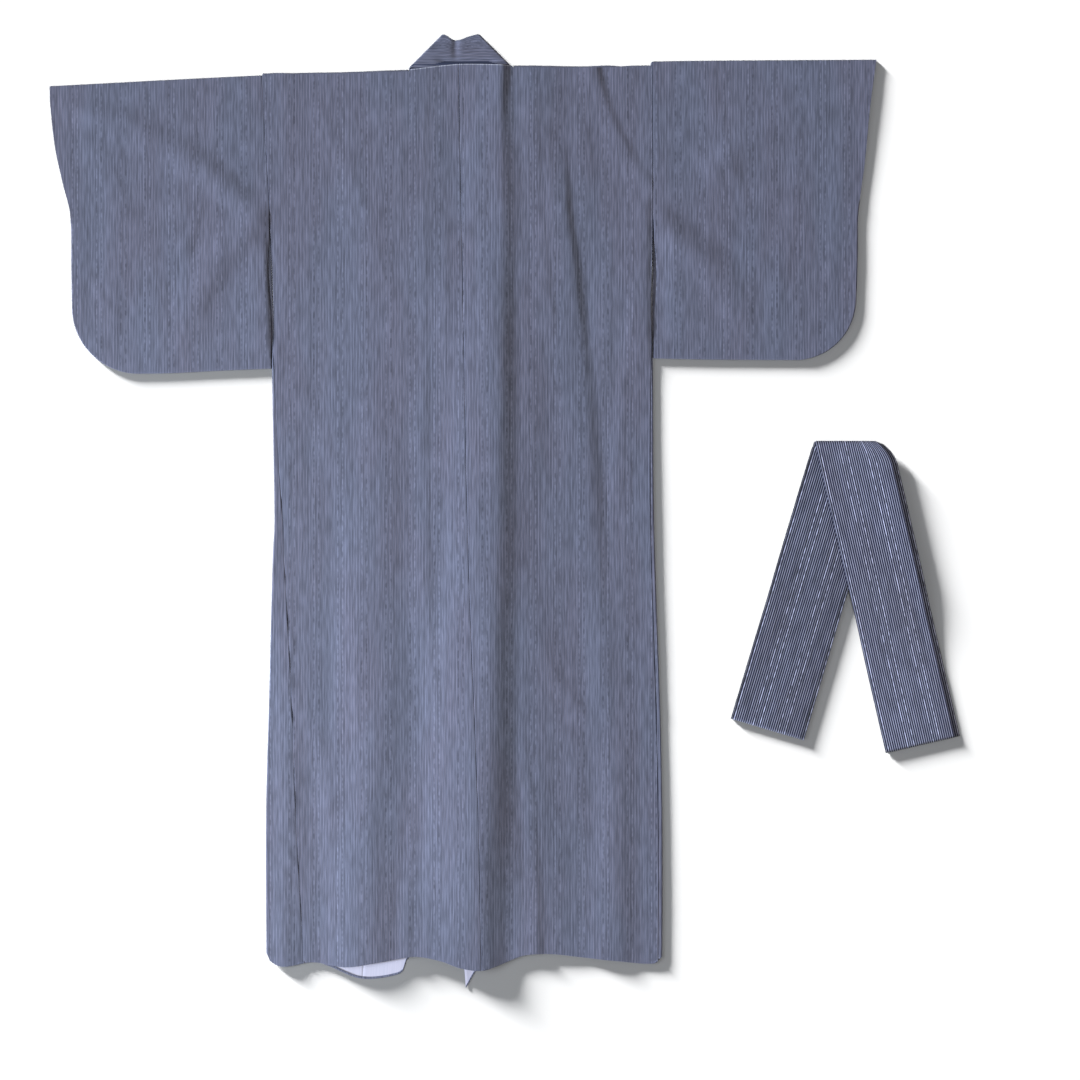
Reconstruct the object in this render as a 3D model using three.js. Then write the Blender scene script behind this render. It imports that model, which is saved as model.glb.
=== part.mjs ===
// Cotton yukata robe, laid flat and closed with its back up, and its striped belt beside it.
// Millimetres. X runs across the robe (the wearer's left is -X), Y runs up towards the collar,
// Z is up from the surface that everything lies on. The middle of the back neckline is the
// robe's own zero point, and the whole group is centred on its outline at the end.
import * as THREE from "three";

// ---- Driving sizes ----
const CLOTH = 1.2; // wall of a single layer
const BAND_CLOTH = 2.4; // wall of the collar, a band folded double
const SEAM = 0.3; // space between two pieces at a seam
const BODY_LENGTH = 1480; // shoulder to hem at the side
const NECK_HALF = 87; // half the width of the neck opening
const BAND_WIDTH = 55; // width of the folded collar
const BAND_END = -740; // where the collar stops on the front edges
const OVERLAP_TOP = -230; // where the overlap panels begin, below the shoulder
const ARMHOLE_END = -251; // bottom of the armhole seam
const SIDE_SEAM_TOP = -400; // top of the side seam, below the open part of the side
const BACK_LEVEL = 4; // mid-height of the back layer at the sides
const CENTRE_RISE = 3; // how much the hidden fronts and collar lift the middle of the back
const RISE_INNER = 110; // half-width of the part lifted in full
const RISE_OUTER = 240; // half-width at which the lift has gone
const FRONT_LEVEL = CLOTH / 2; // mid-height of a front that lies on the surface
const CROSSING_LIFT = 3; // how much the right front rises to pass over the left one
const CROSSING_NEAR = 8; // the right front is at its full lift up to this far past the left edge
const CROSSING_FAR = 60; // and back on the surface at this distance
const BAND_NECK_LEVEL = 5.2; // mid-height of the collar behind the neck
const EDGE_FADE = 100; // length over which the left front edge comes out from under the collar
const FOLD_FADE = 0.15; // share of its length by which a fold runs out past each end

const NAVY = 0x6b7190;
const BELT_NAVY = 0x4c5268;

// ---- Outline, one row for each change of direction ----
const SHOULDER = [
  { x: -682, y: -36 }, // left cuff
  { x: -332, y: -18 }, // left armhole seam
  { x: -134, y: -12 },
  { x: -87, y: -9 },
  { x: 0, y: 0 }, // middle of the neck
  { x: 87, y: -2 },
  { x: 164, y: -2 },
  { x: 319, y: 5 }, // right armhole seam
  { x: 689, y: 8 }, // right cuff
];
// Where each side edge lies, by height.
const SIDE_EDGE = {
  left: [
    { y: 10, x: -333 },
    { y: -17, x: -332 },
    { y: -251, x: -319 },
    { y: -400, x: -311 },
    { y: -498, x: -313 },
    { y: -755, x: -309 },
    { y: -822, x: -312 },
    { y: -1054, x: -318 },
    { y: -1250, x: -323 },
    { y: -1560, x: -322 },
  ],
  right: [
    { y: 10, x: 319 },
    { y: -251, x: 320 },
    { y: -385, x: 316 },
    { y: -506, x: 318 },
    { y: -755, x: 320 },
    { y: -1100, x: 331 },
    { y: -1300, x: 334 },
    { y: -1560, x: 333 },
  ],
};
const CENTRE_SEAM = [
  { y: 20, x: -4 },
  { y: -307, x: 2 },
  { y: -820, x: 13 },
  { y: -1230, x: 29 },
  { y: -1560, x: 35 },
];
// How far the side seam has moved from the side edge on to the back.
const SEAM_DRIFT = {
  left: [
    { y: -400, x: 0 },
    { y: -498, x: 4 },
    { y: -722, x: 13 },
    { y: -1000, x: 35 },
    { y: -1395, x: 59 },
    { y: -1560, x: 63 },
  ],
  right: [
    { y: -400, x: 0 },
    { y: -560, x: 5 },
    { y: -900, x: 7 },
    { y: -1560, x: 8 },
  ],
};
const BACK_HEM = [
  { x: -322, y: -1474 },
  { x: -316, y: -1487 },
  { x: -295, y: -1496 },
  { x: -246, y: -1489 },
  { x: -193, y: -1496 },
  { x: -134, y: -1488 },
  { x: -76, y: -1479 },
  { x: -32, y: -1486 },
  { x: 0, y: -1497 },
  { x: 36, y: -1501 },
  { x: 66, y: -1492 },
  { x: 106, y: -1477 },
  { x: 150, y: -1475 },
  { x: 196, y: -1480 },
  { x: 254, y: -1486 },
  { x: 320, y: -1491 },
  { x: 333, y: -1480 },
];
const FRONT_HEM = {
  left: [
    { x: -322, y: -1474 },
    { x: -300, y: -1481 },
    { x: -255, y: -1484 },
    { x: -216, y: -1497 },
    { x: -176, y: -1514 },
    { x: -150, y: -1517 },
    { x: -111, y: -1511 },
    { x: -96, y: -1503 },
    { x: -90, y: -1484 },
    { x: -60, y: -1474 },
    { x: -30, y: -1472 },
  ],
  right: [
    { x: 8, y: -1532 },
    { x: 25, y: -1503 },
    { x: 45, y: -1484 },
    { x: 150, y: -1466 },
    { x: 250, y: -1470 },
    { x: 333, y: -1480 },
  ],
};
// Front seams and edges, by height.
const COLLAR_SEAM = {
  left: [
    { y: 0, x: -87 },
    { y: -100, x: -81 },
    { y: -230, x: -70 },
    { y: -740, x: 12 },
  ],
  right: [
    { y: 0, x: 87 },
    { y: -100, x: 84 },
    { y: -230, x: 74 },
    { y: -740, x: -3 },
  ],
};
const OVERLAP_SEAM = {
  left: [
    { y: -230, x: -73 },
    { y: -400, x: -90 },
    { y: -740, x: -108 },
    { y: -1560, x: -170 },
  ],
  right: [
    { y: -230, x: 77 },
    { y: -400, x: 95 },
    { y: -740, x: 112 },
    { y: -1560, x: 124 },
  ],
};
const FRONT_EDGE = {
  left: [
    { y: -740, x: 12 },
    { y: -1100, x: -10 },
    { y: -1560, x: -40 },
  ],
  right: [
    { y: -740, x: -3 },
    { y: -1390, x: 2 },
    { y: -1480, x: 8 },
  ],
};

// ---- Folds of the back, one row each: the crest runs from (x0, y0) to (x1, y1), bowed
// sideways by bow at its middle, and rises from rise0 to rise1. left and right are the widths
// of its two slopes at the first end, widened by spread at the last. ----
const BODY_FOLDS = [
  { x0: 62, y0: 0, x1: 24, y1: -1500, bow: 14, rise0: 4, rise1: 12, left: 60, right: 25, spread: 2.5 },
  { x0: -166, y0: -420, x1: -170, y1: -1500, bow: 12, rise0: 0, rise1: 7, left: 60, right: 70, spread: 1.3 },
  { x0: 172, y0: -240, x1: 225, y1: -1120, bow: 16, rise0: 3, rise1: 1, left: 50, right: 16, spread: 2.2 },
  { x0: -290, y0: -900, x1: -292, y1: -1500, bow: 0, rise0: 0, rise1: 3, left: 26, right: 34, spread: 1 },
  { x0: 222, y0: -5, x1: 306, y1: -190, bow: -12, rise0: 3, rise1: 1, left: 40, right: 14, spread: 1.2 },
  { x0: 262, y0: -760, x1: 250, y1: -1500, bow: 0, rise0: 0, rise1: 4, left: 50, right: 44, spread: 1 },
];
const SLEEVE_FOLDS = {
  left: [
    { x0: -340, y0: -262, x1: -470, y1: -470, bow: -16, rise0: 5, rise1: 1, left: 46, right: 32, spread: 1.2 },
    { x0: -630, y0: -70, x1: -375, y1: -215, bow: 12, rise0: 2, rise1: 4, left: 45, right: 45, spread: 0.8 },
  ],
  right: [
    { x0: 328, y0: -266, x1: 468, y1: -420, bow: 14, rise0: 4, rise1: 1, left: 34, right: 40, spread: 1.3 },
    { x0: 640, y0: -60, x1: 420, y1: -170, bow: -10, rise0: 1, rise1: 3, left: 45, right: 45, spread: 0.9 },
  ],
};

// ---- Sleeves: the wrist edge by height, the bottom edge, and the round lower corner ----
const WRIST_EDGE = {
  left: [
    { y: -36, x: -682 },
    { y: -68, x: -681 },
    { y: -138, x: -673 },
    { y: -198, x: -660 },
    { y: -248, x: -648 },
    { y: -340, x: -646 },
    { y: -402, x: -645 },
  ],
  right: [
    { y: 8, x: 689 },
    { y: -66, x: 679 },
    { y: -160, x: 670 },
    { y: -247, x: 659 },
    { y: -319, x: 658 },
    { y: -405, x: 655 },
  ],
};
const SLEEVE_BOTTOM = {
  left: [
    { x: -644, y: -512 },
    { x: -500, y: -512 },
    { x: -402, y: -507 },
    { x: -311, y: -503 },
  ],
  right: [
    { x: 316, y: -487 },
    { x: 420, y: -489 },
    { x: 655, y: -490 },
  ],
};
const WRIST_INSIDE = 600; // the bottom edge's row beyond this is the one at the wrist
const CORNER_RADIUS = { left: 110, right: 100 };
const CUFF_OPENING = 0.45; // share of the sleeve's depth left open at the wrist
const SLEEVE_HEIGHT = BACK_LEVEL + CLOTH / 2; // both layers and the air between them
const FRONT_SLIT_SHARE = 0.15; // how much of the space below the front layer leaves open
// Space between the sleeve's back layer and the body below the armhole.
const SLIT = [
  { y: -240, x: 0 },
  { y: -290, x: 3 },
  { y: -350, x: 8 },
  { y: -440, x: 3 },
  { y: -520, x: 1 },
];

// ---- Belt: a strap of folded layers, bent once across a fold line ----
const BELT = {
  width: 126,
  layer: 1.6,
  foldY: -624, // the top of the bend
  corner: 30, // radius of the bend's outer corner
  over: { x: 650, tilt: 13, length: 517 }, // tilt from straight down, positive towards +X
  under: { tilt: -16.6, length: 490 },
  roll: 1.2, // inner radius of the bend
};
// Each layer of the strap, from the lowest: how far its edges stand in from the full width.
const BELT_LAYERS = [
  { left: 3, right: 0 },
  { left: 0, right: 4 },
  { left: 2, right: 9 },
];

const LAYER_NOTCH = { in: 0.5, up: 0.15 }; // the small step between two layers at the edges

// ---- Small mathematics ----
const mix = (a, b, t) => a + (b - a) * t;
const clamp = (t) => Math.min(1, Math.max(0, t));
const smooth = (t) => clamp(t) ** 2 * (3 - 2 * clamp(t));
const sign = { left: -1, right: 1 };

// A smooth value between the rows of a table: key and value name two of its columns.
function along(rows, key, value, at) {
  const up = rows[rows.length - 1][key] > rows[0][key] ? 1 : -1;
  const last = rows.length - 1;
  if ((at - rows[0][key]) * up <= 0) return rows[0][value];
  if ((at - rows[last][key]) * up >= 0) return rows[last][value];
  let i = 0;
  while ((at - rows[i + 1][key]) * up > 0) i++;
  const slope = (a, b) => (rows[b][value] - rows[a][value]) / (rows[b][key] - rows[a][key]);
  const span = rows[i + 1][key] - rows[i][key];
  const here = slope(i, i + 1);
  const before = i > 0 ? slope(i - 1, i + 1) : here;
  const after = i < last - 1 ? slope(i, i + 2) : here;
  const t = (at - rows[i][key]) / span;
  const bend = (1 - t) * (before - here) - t * (after - here);
  return rows[i][value] + span * t * (here + (1 - t) * bend);
}

// Height of one fold over the point (x, y): a soft crest with unlike slopes.
function foldHeight(fold, x, y) {
  const dx = fold.x1 - fold.x0;
  const dy = fold.y1 - fold.y0;
  const length = Math.hypot(dx, dy);
  const t = ((x - fold.x0) * dx + (y - fold.y0) * dy) / length ** 2;
  if (t <= -FOLD_FADE || t >= 1 + FOLD_FADE) return 0;
  const reach = clamp(t);
  const bow = 4 * fold.bow * reach * (1 - reach);
  const side = ((x - fold.x0) * -dy + (y - fold.y0) * dx) / length - bow;
  const width = (side > 0 ? fold.right : fold.left) * mix(1, fold.spread, reach);
  if (Math.abs(side) >= width) return 0;
  const ends = smooth((t + FOLD_FADE) / FOLD_FADE) * smooth((1 + FOLD_FADE - t) / FOLD_FADE);
  return mix(fold.rise0, fold.rise1, reach) * ends * Math.cos((Math.PI * side) / width / 2) ** 2;
}

const folds = (rows, x, y) => rows.reduce((sum, fold) => sum + foldHeight(fold, x, y), 0);

// Mid-height of the back layer, of the left front, and of the right front.
function backLevel(x, y) {
  const lift = 1 - smooth((Math.abs(x) - RISE_INNER) / (RISE_OUTER - RISE_INNER));
  return BACK_LEVEL + CENTRE_RISE * lift + folds(BODY_FOLDS, x, y);
}
function leftFrontEdge(y) {
  const cloth = along(y > BAND_END ? COLLAR_SEAM.left : FRONT_EDGE.left, "y", "x", y);
  return cloth + BAND_WIDTH * (1 - smooth((BAND_END - CROSSING_FAR - y) / EDGE_FADE));
}
function frontLevel(side, x, y) {
  if (side === "left") return FRONT_LEVEL;
  const past = x - leftFrontEdge(y);
  return FRONT_LEVEL + CROSSING_LIFT * (1 - smooth((past - CROSSING_NEAR) / (CROSSING_FAR - CROSSING_NEAR)));
}

// ---- Closed solids from grids of cloth ----
// Gathers corners and faces, and gives them back as a geometry.
class Shell {
  constructor() {
    this.points = [];
    this.faces = [];
  }
  add(point) {
    this.points.push(point);
    return this.points.length - 1;
  }
  quad(a, b, c, d) {
    this.faces.push(a, b, c, a, c, d);
  }
  geometry() {
    const geometry = new THREE.BufferGeometry();
    const flat = this.points.flatMap((p) => [p.x, p.y, p.z]);
    geometry.setAttribute("position", new THREE.Float32BufferAttribute(flat, 3));
    geometry.setIndex(this.faces);
    geometry.computeVertexNormals();
    return geometry;
  }
}

// A sheet of cloth through grid[i][j], its middle surface, thickened half to each side.
// Points that are null are cut away. Columns i run across the sheet, rows j along it, so that
// i then j then the upper face turn as right-handed axes.
function sheet(grid, wall) {
  const columns = grid.length;
  const rows = grid[0].length;
  const has = (i, j) => i >= 0 && j >= 0 && i < columns && j < rows && grid[i][j] !== null;
  const step = (i, j, di, dj) => {
    const ahead = has(i + di, j + dj) ? grid[i + di][j + dj] : grid[i][j];
    const behind = has(i - di, j - dj) ? grid[i - di][j - dj] : grid[i][j];
    return ahead.clone().sub(behind);
  };
  const cell = (i, j) => has(i, j) && has(i + 1, j) && has(i, j + 1) && has(i + 1, j + 1);
  const shell = new Shell();
  const upper = grid.map((line) => line.map(() => -1));
  const lower = grid.map((line) => line.map(() => -1));
  for (let i = 0; i < columns; i++)
    for (let j = 0; j < rows; j++) {
      if (!has(i, j)) continue;
      const normal = step(i, j, 1, 0).cross(step(i, j, 0, 1));
      // At a seam or edge the wall's end stands square, so that neighbours stay apart.
      if (!has(i + 1, j) || !has(i - 1, j)) normal.x = 0;
      if (!has(i, j + 1) || !has(i, j - 1)) normal.y = 0;
      normal.setLength(wall / 2);
      upper[i][j] = shell.add(grid[i][j].clone().add(normal));
      lower[i][j] = shell.add(grid[i][j].clone().sub(normal));
    }
  for (let i = 0; i < columns - 1; i++)
    for (let j = 0; j < rows - 1; j++) {
      if (!cell(i, j)) continue;
      const corners = [[i, j], [i + 1, j], [i + 1, j + 1], [i, j + 1]];
      shell.quad(...corners.map(([a, b]) => upper[a][b]));
      shell.quad(...corners.map(([a, b]) => lower[a][b]).reverse());
      const beyond = [[i, j - 1], [i + 1, j], [i, j + 1], [i - 1, j]];
      beyond.forEach(([a, b], k) => {
        if (cell(a, b)) return;
        const [from, to] = [corners[k], corners[(k + 1) % 4]];
        shell.quad(lower[from[0]][from[1]], lower[to[0]][to[1]], upper[to[0]][to[1]], upper[from[0]][from[1]]);
      });
    }
  return shell.geometry();
}

// ---- Body: back, shoulder and front of one side in one length ----
const BACK_ROWS = [0, 0.03, 0.07, 0.12, 0.165, 0.2, 0.235, 0.27, 0.32, 0.38, 0.44, 0.5, 0.56, 0.62,
  0.68, 0.74, 0.8, 0.86, 0.91, 0.96, 1];
const ROLL_STEPS = 4; // facets round a folded edge
const NECK_COLUMNS = 4; // from the centre seam to the side of the neck
const SHARED_COLUMNS = { flat: 8, roll: 4 }; // from there to the side seam, back and front
const ROLL_START = 3; // how far in from the side edge the two layers set the roll's radius
const BACK_KNEE = 2.5; // least distance from the side seam to the last flat column of the back
const FRONT_KNEES = { columns: 3, far: 9, near: 3 }; // and of the front's two, and their columns
const NECK_LINE_END = 80; // distance of the side-of-neck column from the centre seam at the hem
const rollRadius = (top, bottom) => (top - bottom) / 2;

// Where the side seam lies at this height, as a distance round the side edge: 0 on the edge
// itself, positive on the back, and where back and front end when the side is still open.
function sideSeam(side, y, radius, layer) {
  const quarter = (Math.PI / 2) * radius;
  if (y > SIDE_SEAM_TOP) {
    const opened = smooth((y - SIDE_SEAM_TOP) / (ARMHOLE_END - SIDE_SEAM_TOP));
    return layer * (SEAM / 2 + quarter * opened);
  }
  const drift = along(SEAM_DRIFT[side], "y", "x", y);
  return drift + (layer * SEAM) / 2;
}

// Radius of the roll at the side edge, from the front layer to the back one.
function sideRadius(side, y) {
  const inside = along(SIDE_EDGE[side], "y", "x", y) - sign[side] * ROLL_START;
  return rollRadius(backLevel(inside, y), frontLevel(side, inside, y));
}

// A point of the body's section at one height, at the distance round from the side edge.
function bodySection(side, y, reach) {
  const edge = along(SIDE_EDGE[side], "y", "x", y);
  const low = frontLevel(side, edge - sign[side] * ROLL_START, y);
  const radius = sideRadius(side, y);
  const quarter = (Math.PI / 2) * radius;
  const angle = Math.min(1, Math.max(-1, reach / quarter)) * (Math.PI / 2);
  const inward = radius * (1 - Math.cos(angle)) + Math.max(0, Math.abs(reach) - quarter);
  const x = edge - sign[side] * inward;
  if (reach > quarter) return { x, z: backLevel(x, y) };
  if (reach < -quarter) return { x, z: frontLevel(side, x, y) };
  return { x, z: low + radius + radius * Math.sin(angle) };
}

// The distance round from the side edge of a point on the flat of the back or the front.
const reachOf = (side, x, y, radius) =>
  Math.abs(along(SIDE_EDGE[side], "y", "x", y) - x) - radius + (Math.PI / 2) * radius;

function backPoint(side, column, t) {
  const shared = SHARED_COLUMNS.flat + SHARED_COLUMNS.roll;
  const topX = column < NECK_COLUMNS
    ? mix(0, sign[side] * NECK_HALF, column / NECK_COLUMNS)
    : mix(sign[side] * NECK_HALF, along(SIDE_EDGE[side], "y", "x", 0), (column - NECK_COLUMNS) / shared);
  const shoulder = along(SHOULDER, "x", "y", topX);
  const turn = column < NECK_COLUMNS ? 0 : rollRadius(backLevel(topX, shoulder), FRONT_LEVEL);
  const level = mix(shoulder - turn, -BODY_LENGTH, t);
  const radius = sideRadius(side, level);
  const quarter = (Math.PI / 2) * radius;
  const seam = sideSeam(side, level, radius, 1);
  const knee = Math.max(quarter, seam + BACK_KNEE);
  const middle = along(CENTRE_SEAM, "y", "x", level) + (sign[side] * SEAM) / 2;
  const neckX = mix(sign[side] * NECK_HALF, middle + sign[side] * NECK_LINE_END, smooth(t));
  let x = mix(middle, neckX, column / NECK_COLUMNS);
  let reach = reachOf(side, x, level, radius);
  if (column > NECK_COLUMNS) {
    const start = reachOf(side, neckX, level, radius);
    const flat = (column - NECK_COLUMNS) / SHARED_COLUMNS.flat;
    reach = flat <= 1
      ? mix(start, knee, flat)
      : mix(knee, seam, (column - NECK_COLUMNS - SHARED_COLUMNS.flat) / SHARED_COLUMNS.roll);
  }
  const place = bodySection(side, level, reach);
  const y = mix(shoulder - turn, along(BACK_HEM, "x", "y", place.x), t);
  return new THREE.Vector3(place.x, y, place.z);
}

function frontPoint(side, column, t) {
  const shared = SHARED_COLUMNS.flat + SHARED_COLUMNS.roll;
  const topX = mix(sign[side] * NECK_HALF, along(SIDE_EDGE[side], "y", "x", 0), column / shared);
  const shoulder = along(SHOULDER, "x", "y", topX);
  const turn = rollRadius(backLevel(topX, shoulder), FRONT_LEVEL);
  const level = mix(shoulder - turn, -BODY_LENGTH, t);
  const radius = sideRadius(side, level);
  const quarter = (Math.PI / 2) * radius;
  const seam = sideSeam(side, level, radius, -1);
  const inner = level > OVERLAP_TOP
    ? along(COLLAR_SEAM[side], "y", "x", level)
    : along(OVERLAP_SEAM[side], "y", "x", level);
  const start = -reachOf(side, inner, level, radius);
  const kneeLow = Math.min(-quarter, seam - FRONT_KNEES.far);
  const kneeHigh = Math.min(quarter, seam - FRONT_KNEES.near);
  const flat = SHARED_COLUMNS.flat - FRONT_KNEES.columns;
  const last = shared - FRONT_KNEES.columns;
  let reach = mix(start, kneeLow, column / flat);
  if (column > flat) reach = mix(kneeLow, kneeHigh, (column - flat) / (last - flat));
  if (column > last) reach = mix(kneeHigh, seam, (column - last) / (shared - last));
  const place = bodySection(side, level, reach);
  const hem = reach > 0 ? along(BACK_HEM, "x", "y", place.x) : along(FRONT_HEM[side], "x", "y", place.x);
  const y = mix(shoulder - turn, hem, t);
  return new THREE.Vector3(place.x, y, place.z);
}

// The half turn over the shoulder, from the back layer to the front one.
function shoulderPoint(side, column, step) {
  const back = backPoint(side, column, 0);
  const front = frontPoint(side, column - NECK_COLUMNS, 0);
  const radius = rollRadius(back.z, front.z);
  const angle = (Math.PI / 2) * (1 - (2 * step) / ROLL_STEPS);
  return new THREE.Vector3(
    mix(back.x, front.x, step / ROLL_STEPS),
    back.y + radius * Math.cos(angle),
    front.z + radius + radius * Math.sin(angle),
  );
}

function bodyGrid(side) {
  const columns = NECK_COLUMNS + SHARED_COLUMNS.flat + SHARED_COLUMNS.roll;
  const grid = [];
  for (let i = 0; i <= columns; i++) {
    const overShoulder = i >= NECK_COLUMNS;
    const line = [...BACK_ROWS].reverse().map((t) => backPoint(side, i, t));
    for (let k = 1; k < ROLL_STEPS; k++) line.push(overShoulder ? shoulderPoint(side, i, k) : null);
    BACK_ROWS.forEach((t) => line.push(overShoulder ? frontPoint(side, i - NECK_COLUMNS, t) : null));
    grid.push(line);
  }
  return side === "left" ? grid.reverse() : grid;
}

// ---- Overlap panels on the front edges ----
const OVERLAP_ROWS = 14;
const OVERLAP_COLUMNS = 4;
const OVERLAP_GAP = 4; // space between the panel's top and the collar

function overlapGrid(side) {
  const grid = [];
  const inward = -sign[side];
  for (let i = 0; i <= OVERLAP_COLUMNS; i++) {
    const line = [];
    for (let j = OVERLAP_ROWS; j >= 0; j--) {
      const t = j / OVERLAP_ROWS;
      const level = mix(OVERLAP_TOP - OVERLAP_GAP, -BODY_LENGTH, t);
      const outer = along(OVERLAP_SEAM[side], "y", "x", level) + inward * SEAM;
      const edge = level > BAND_END
        ? along(COLLAR_SEAM[side], "y", "x", level)
        : along(FRONT_EDGE[side], "y", "x", level);
      const x = mix(outer, edge, i / OVERLAP_COLUMNS);
      const y = mix(OVERLAP_TOP - OVERLAP_GAP, along(FRONT_HEM[side], "x", "y", x), t);
      line.push(new THREE.Vector3(x, y, frontLevel(side, x, level)));
    }
    grid.push(line);
  }
  return side === "left" ? grid : grid.reverse();
}

// ---- Collar: a band up one front, turned over at the side of the neck, and down the other ----
const BAND_COLUMNS = 3;
const BAND_FRONT_ROWS = [0, 0.12, 0.24, 0.36, 0.48, 0.6, 0.7, 0.8, 0.9, 1];
const NECK_STEPS = 3; // from the turn to the middle of the neck
const BAND_SEAM_SPACE = 0.8; // from the seam's line to the band
const BAND_TURN = (BAND_NECK_LEVEL - BAND_CLOTH / 2) / 2; // radius of the turn at the neck's sides
const TURN_SHIFT = 0.4; // the turn takes up this much of its radius across the band
const NECK_TUCK = 6; // how far the band lies under the edge of the back
const TURN_SPACE = 6; // from the last row on a front to the turn

// The band on a front, w across it from the seam to the free edge.
function bandFront(side, w, y) {
  const seamX = along(COLLAR_SEAM[side], "y", "x", Math.min(0, y));
  const x = seamX - sign[side] * (w + BAND_SEAM_SPACE);
  const lift = frontLevel(side, x, Math.min(y, ARMHOLE_END / 2)) - FRONT_LEVEL;
  return new THREE.Vector3(x, y, BAND_CLOTH / 2 + lift);
}

// The band where it turns over a 45 degree fold; past is the distance beyond the fold line.
function bandTurn(side, w, past) {
  const quarter = (Math.PI / 2) * BAND_TURN;
  const angle = Math.min(1, Math.max(-1, past / quarter)) * (Math.PI / 2);
  const back = (BAND_TURN * (1 - Math.cos(angle))) / Math.SQRT2;
  const run = w + past / Math.SQRT2;
  const inset = BAND_SEAM_SPACE + TURN_SHIFT * BAND_TURN;
  return new THREE.Vector3(
    sign[side] * (NECK_HALF - inset - run - back),
    run - back - NECK_TUCK,
    BAND_CLOTH / 2 + BAND_TURN * (1 + Math.sin(angle)),
  );
}

function bandLine(side, w) {
  const quarter = (Math.PI / 2) * BAND_TURN;
  const line = BAND_FRONT_ROWS.map((t) => bandFront(side, w, mix(BAND_END, w - NECK_TUCK - TURN_SPACE, t)));
  for (let k = 0; k <= ROLL_STEPS; k++) line.push(bandTurn(side, w, quarter * ((2 * k) / ROLL_STEPS - 1)));
  const after = line[line.length - 1];
  for (let k = 1; k < NECK_STEPS; k++)
    line.push(new THREE.Vector3(mix(after.x, 0, k / NECK_STEPS), after.y, after.z));
  return line;
}

function collarGrid() {
  const grid = [];
  for (let i = 0; i <= BAND_COLUMNS; i++) {
    const w = (BAND_WIDTH * i) / BAND_COLUMNS;
    const left = bandLine("left", w);
    const right = bandLine("right", w).reverse();
    const middle = left[left.length - 1].clone().lerp(right[0], 0.5);
    grid.push([...left, middle, ...right]);
  }
  return grid.reverse();
}

// ---- Sleeves: a flat tube, closed at the top fold, the bottom seam and the lower wrist ----
const SLEEVE_COLUMNS = 8;
const SLEEVE_ROWS = 6; // above the round corner
const CORNER_ROWS = 5;
const EDGE_INSETS = [0, 0.7, 2.3]; // distances in from a closed edge that make it round
const SLEEVE_DEPTH = 490; // fold to bottom seam
const SLEEVE_WIDTH = 360; // armhole seam to wrist
const LEAST_HOLLOW = 0.3; // half the space kept between the two layers
const RISE_FADE = 60; // distance from a sewn edge over which a fold reaches its full height
const WALL_FADE = { x: 60, y: 30 }; // and over which the inner skin steps in from the edge

const sleeveBottom = (side) => SLEEVE_BOTTOM[side].find((row) => Math.abs(row.x) > WRIST_INSIDE).y;

// Depth of each row below the fold, as a share of the whole, and each column's share across.
function sleeveRows(side) {
  const top = WRIST_EDGE[side][0].y;
  const straight = top - sleeveBottom(side) - CORNER_RADIUS[side];
  const depth = straight + CORNER_RADIUS[side];
  const rows = EDGE_INSETS.map((inset) => inset / depth);
  for (let k = 1; k <= SLEEVE_ROWS; k++) rows.push((straight / depth) * (k / SLEEVE_ROWS));
  for (let k = 1; k < CORNER_ROWS; k++) {
    const turned = (Math.PI / 2) * (k / CORNER_ROWS);
    rows.push((straight + CORNER_RADIUS[side] * Math.sin(turned)) / depth);
  }
  return [...rows, ...[...EDGE_INSETS].reverse().map((inset) => 1 - inset / depth)];
}

function sleeveColumns() {
  const columns = [];
  for (let i = 0; i < SLEEVE_COLUMNS; i++) columns.push(i / SLEEVE_COLUMNS);
  return [...columns, ...[...EDGE_INSETS].reverse().map((inset) => 1 - inset / SLEEVE_WIDTH)];
}

// Where the share u across and v down the sleeve lies; layer is 1 for the back, -1 for the front.
function sleevePlace(side, u, v, layer) {
  const radius = CORNER_RADIUS[side];
  const outerY = mix(WRIST_EDGE[side][0].y, sleeveBottom(side), v);
  const fallen = Math.max(0, sleeveBottom(side) + radius - outerY);
  const wrist = along(WRIST_EDGE[side], "y", "x", outerY);
  const outerX = wrist - sign[side] * (radius - Math.sqrt(Math.max(0, radius ** 2 - fallen ** 2)));
  const armX = along(SIDE_EDGE[side], "y", "x", 0);
  const armTop = along(SHOULDER, "x", "y", armX);
  const innerY = mix(armTop, along(SLEEVE_BOTTOM[side], "x", "y", armX), v);
  const slit = along(SLIT, "y", "x", innerY) * (layer > 0 ? 1 : FRONT_SLIT_SHARE);
  const innerX = along(SIDE_EDGE[side], "y", "x", innerY) + sign[side] * (SEAM + slit);
  const foldY = along(SHOULDER, "x", "y", mix(armX, WRIST_EDGE[side][0].x, u));
  const hemX = mix(armX, wrist - sign[side] * radius, u);
  return {
    x: mix(innerX, outerX, u),
    y: mix(foldY, along(SLEEVE_BOTTOM[side], "x", "y", hemX), v),
  };
}

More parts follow.
